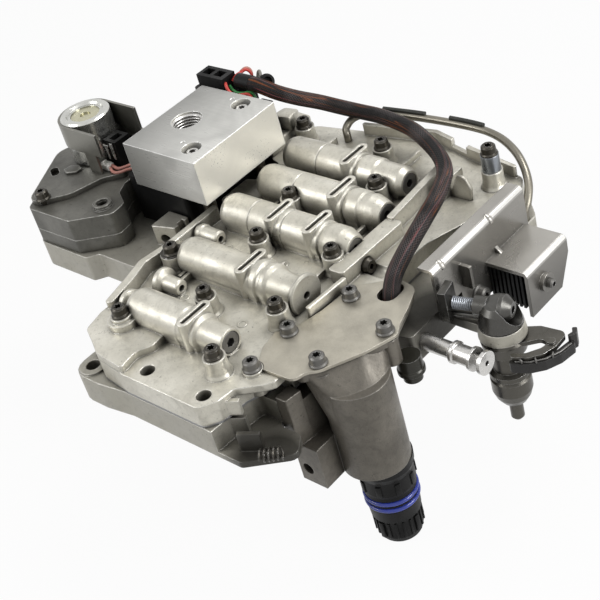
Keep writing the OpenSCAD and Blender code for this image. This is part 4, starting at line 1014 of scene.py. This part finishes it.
class VALVEBODY_OT_stage(bpy.types.Operator):
    """Sets the pale floor, the soft lamps and the camera"""

    bl_idname = "valve_body.stage"
    bl_label = "Studio"

    def execute(self, context):
        """Builds the studio round the part."""
        studio = settings("studio")
        context.scene.view_settings.view_transform = "Standard"
        self.floor()
        self.room(context, studio)
        self.lamp(context, "key_lamp", (0.20, 0.55, 0.95), 0.45, studio.key)
        self.lamp(context, "side_lamp", (1.05, 0.30, 0.45), 0.5, studio.side)
        self.lamp(context, "fill_lamp", (-0.55, -0.75, 0.75), 0.6, studio.fill)
        self.camera(context, studio)
        return {"FINISHED"}

    def floor(self):
        """A wide floor under the part, white to the camera but for the shadow."""
        shape = bmesh.new()
        bmesh.ops.create_grid(shape, x_segments=1, y_segments=1, size=4.0)
        bmesh.ops.translate(shape, verts=shape.verts, vec=(0, 0, CAD_BOX[0][2] - 0.5 * MM))
        mesh = mesh_of("floor", shape)
        floor = bpy.data.objects.new("floor", mesh)
        bpy.context.scene.collection.objects.link(floor)
        f = Finish("floor_paper")
        clouds = f.noise(3, 2)
        f.done(f.blend(clouds, (0.52, 0.52, 0.51), (0.56, 0.56, 0.55)), f.span(clouds, 0, 1, 0.7, 0.8), None)
        glow = f.tree.nodes.new("ShaderNodeEmission")
        glow.inputs["Strength"].default_value = 1.0
        share = f.tree.nodes.new("ShaderNodeMixShader")
        f.join(f.sum("MULTIPLY", seen_directly(f.tree), 0.95), share.inputs[0])
        f.join(f.shader.outputs[0], share.inputs[1])
        f.join(glow.outputs[0], share.inputs[2])
        out = [n for n in f.tree.nodes if n.bl_idname == "ShaderNodeOutputMaterial"][0]
        f.join(share.outputs[0], out.inputs[0])
        mesh.materials.append(f.material)

    def room(self, context, studio):
        """Even soft light from all round, and white behind the part and in its reflections."""
        world = bpy.data.worlds.new("room")
        world.use_nodes = True
        context.scene.world = world
        tree = world.node_tree
        tree.nodes.clear()
        out = tree.nodes.new("ShaderNodeOutputWorld")
        share = tree.nodes.new("ShaderNodeMixShader")
        tree.links.new(seen_directly(tree), share.inputs[0])
        for slot, strength in ((1, studio.sky), (2, 1.0)):
            light = tree.nodes.new("ShaderNodeBackground")
            light.inputs["Color"].default_value = (1, 1, 1, 1)
            light.inputs["Strength"].default_value = strength
            tree.links.new(light.outputs[0], share.inputs[slot])
        tree.links.new(share.outputs[0], out.inputs[0])

    def lamp(self, context, name, place, size, power):
        """A square lamp that faces the part."""
        data = bpy.data.lights.new(name, "AREA")
        data.size = size
        data.energy = power
        lamp = bpy.data.objects.new(name, data)
        context.scene.collection.objects.link(lamp)
        lamp.location = place
        lamp.rotation_euler = (LAMP_TARGET - Vector(place)).to_track_quat("-Z", "Y").to_euler()

    def camera(self, context, studio):
        """The photograph's view."""
        turn, rise, roll = studio.turn, studio.rise, studio.roll
        right = Vector((math.cos(turn), math.sin(turn), 0))
        ahead = Vector((-math.sin(turn) * math.cos(rise), math.cos(turn) * math.cos(rise), -math.sin(rise)))
        down = -right.cross(ahead)
        c, s = math.cos(roll), math.sin(roll)
        x_axis, y_axis = right * c - down * s, right * s + down * c
        view = Matrix((x_axis, -y_axis, -ahead)).transposed()
        offset = x_axis * (-ORIGIN_LEFT_PX / FOCAL_PX) + ahead
        data = bpy.data.cameras.new("photo_camera")
        data.sensor_width = SENSOR_WIDTH
        data.lens = SENSOR_WIDTH * FOCAL_PX / PHOTO_PX
        data.clip_start = 0.01
        data.clip_end = 20
        camera = bpy.data.objects.new("photo_camera", data)
        context.scene.collection.objects.link(camera)
        place = Vector((0, 0, DECK_HEIGHT * MM)) - offset * studio.distance
        camera.matrix_world = Matrix.Translation(place) @ view.to_4x4()
        context.scene.camera = camera


class VALVEBODY_PT_sidebar(bpy.types.Panel):
    """Settings and steps of the valve body"""

    bl_idname = "VALVEBODY_PT_sidebar"
    bl_label = "Valve body"
    bl_space_type = "VIEW_3D"
    bl_region_type = "UI"
    bl_category = "Valve body"

    def draw(self, context):
        """Lists the settings and the steps."""
        for part in SETTINGS:
            box = self.layout.box()
            for name in settings(part).bl_rna.properties.keys():
                if name not in {"rna_type", "name"}:
                    box.prop(settings(part), name)
        for step in STEPS:
            self.layout.operator(step.bl_idname)


SETTINGS = {"finishes": ValveBodyFinishes, "sizes": ValveBodySizes, "studio": ValveBodyStudio}
STEPS = (
    VALVEBODY_OT_finishes, VALVEBODY_OT_harness, VALVEBODY_OT_boost_tube, VALVEBODY_OT_tube_strips,
    VALVEBODY_OT_wires, VALVEBODY_OT_plugs, VALVEBODY_OT_threads, VALVEBODY_OT_connector_ribs,
    VALVEBODY_OT_selector_trim, VALVEBODY_OT_cast_marks, VALVEBODY_OT_valve_coils, VALVEBODY_OT_deck_fin,
    VALVEBODY_OT_corner_spring, VALVEBODY_OT_back_corner, VALVEBODY_OT_governor_trim, VALVEBODY_OT_stage)
CLASSES = (*SETTINGS.values(), *STEPS, VALVEBODY_PT_sidebar)


def register():
    """Adds the classes and the scene's settings."""
    for cls in CLASSES:
        bpy.utils.register_class(cls)
    for part, group in SETTINGS.items():
        setattr(bpy.types.Scene, "valve_body_" + part, PointerProperty(type=group))


def unregister():
    """Removes what register added."""
    for part in SETTINGS:
        delattr(bpy.types.Scene, "valve_body_" + part)
    for cls in reversed(CLASSES):
        bpy.utils.unregister_class(cls)


def main():
    """Runs every step in order."""
    register()
    for step in STEPS:
        group, name = step.bl_idname.split(".")
        getattr(getattr(bpy.ops, group), name)()


if __name__ == "__main__":
    main()
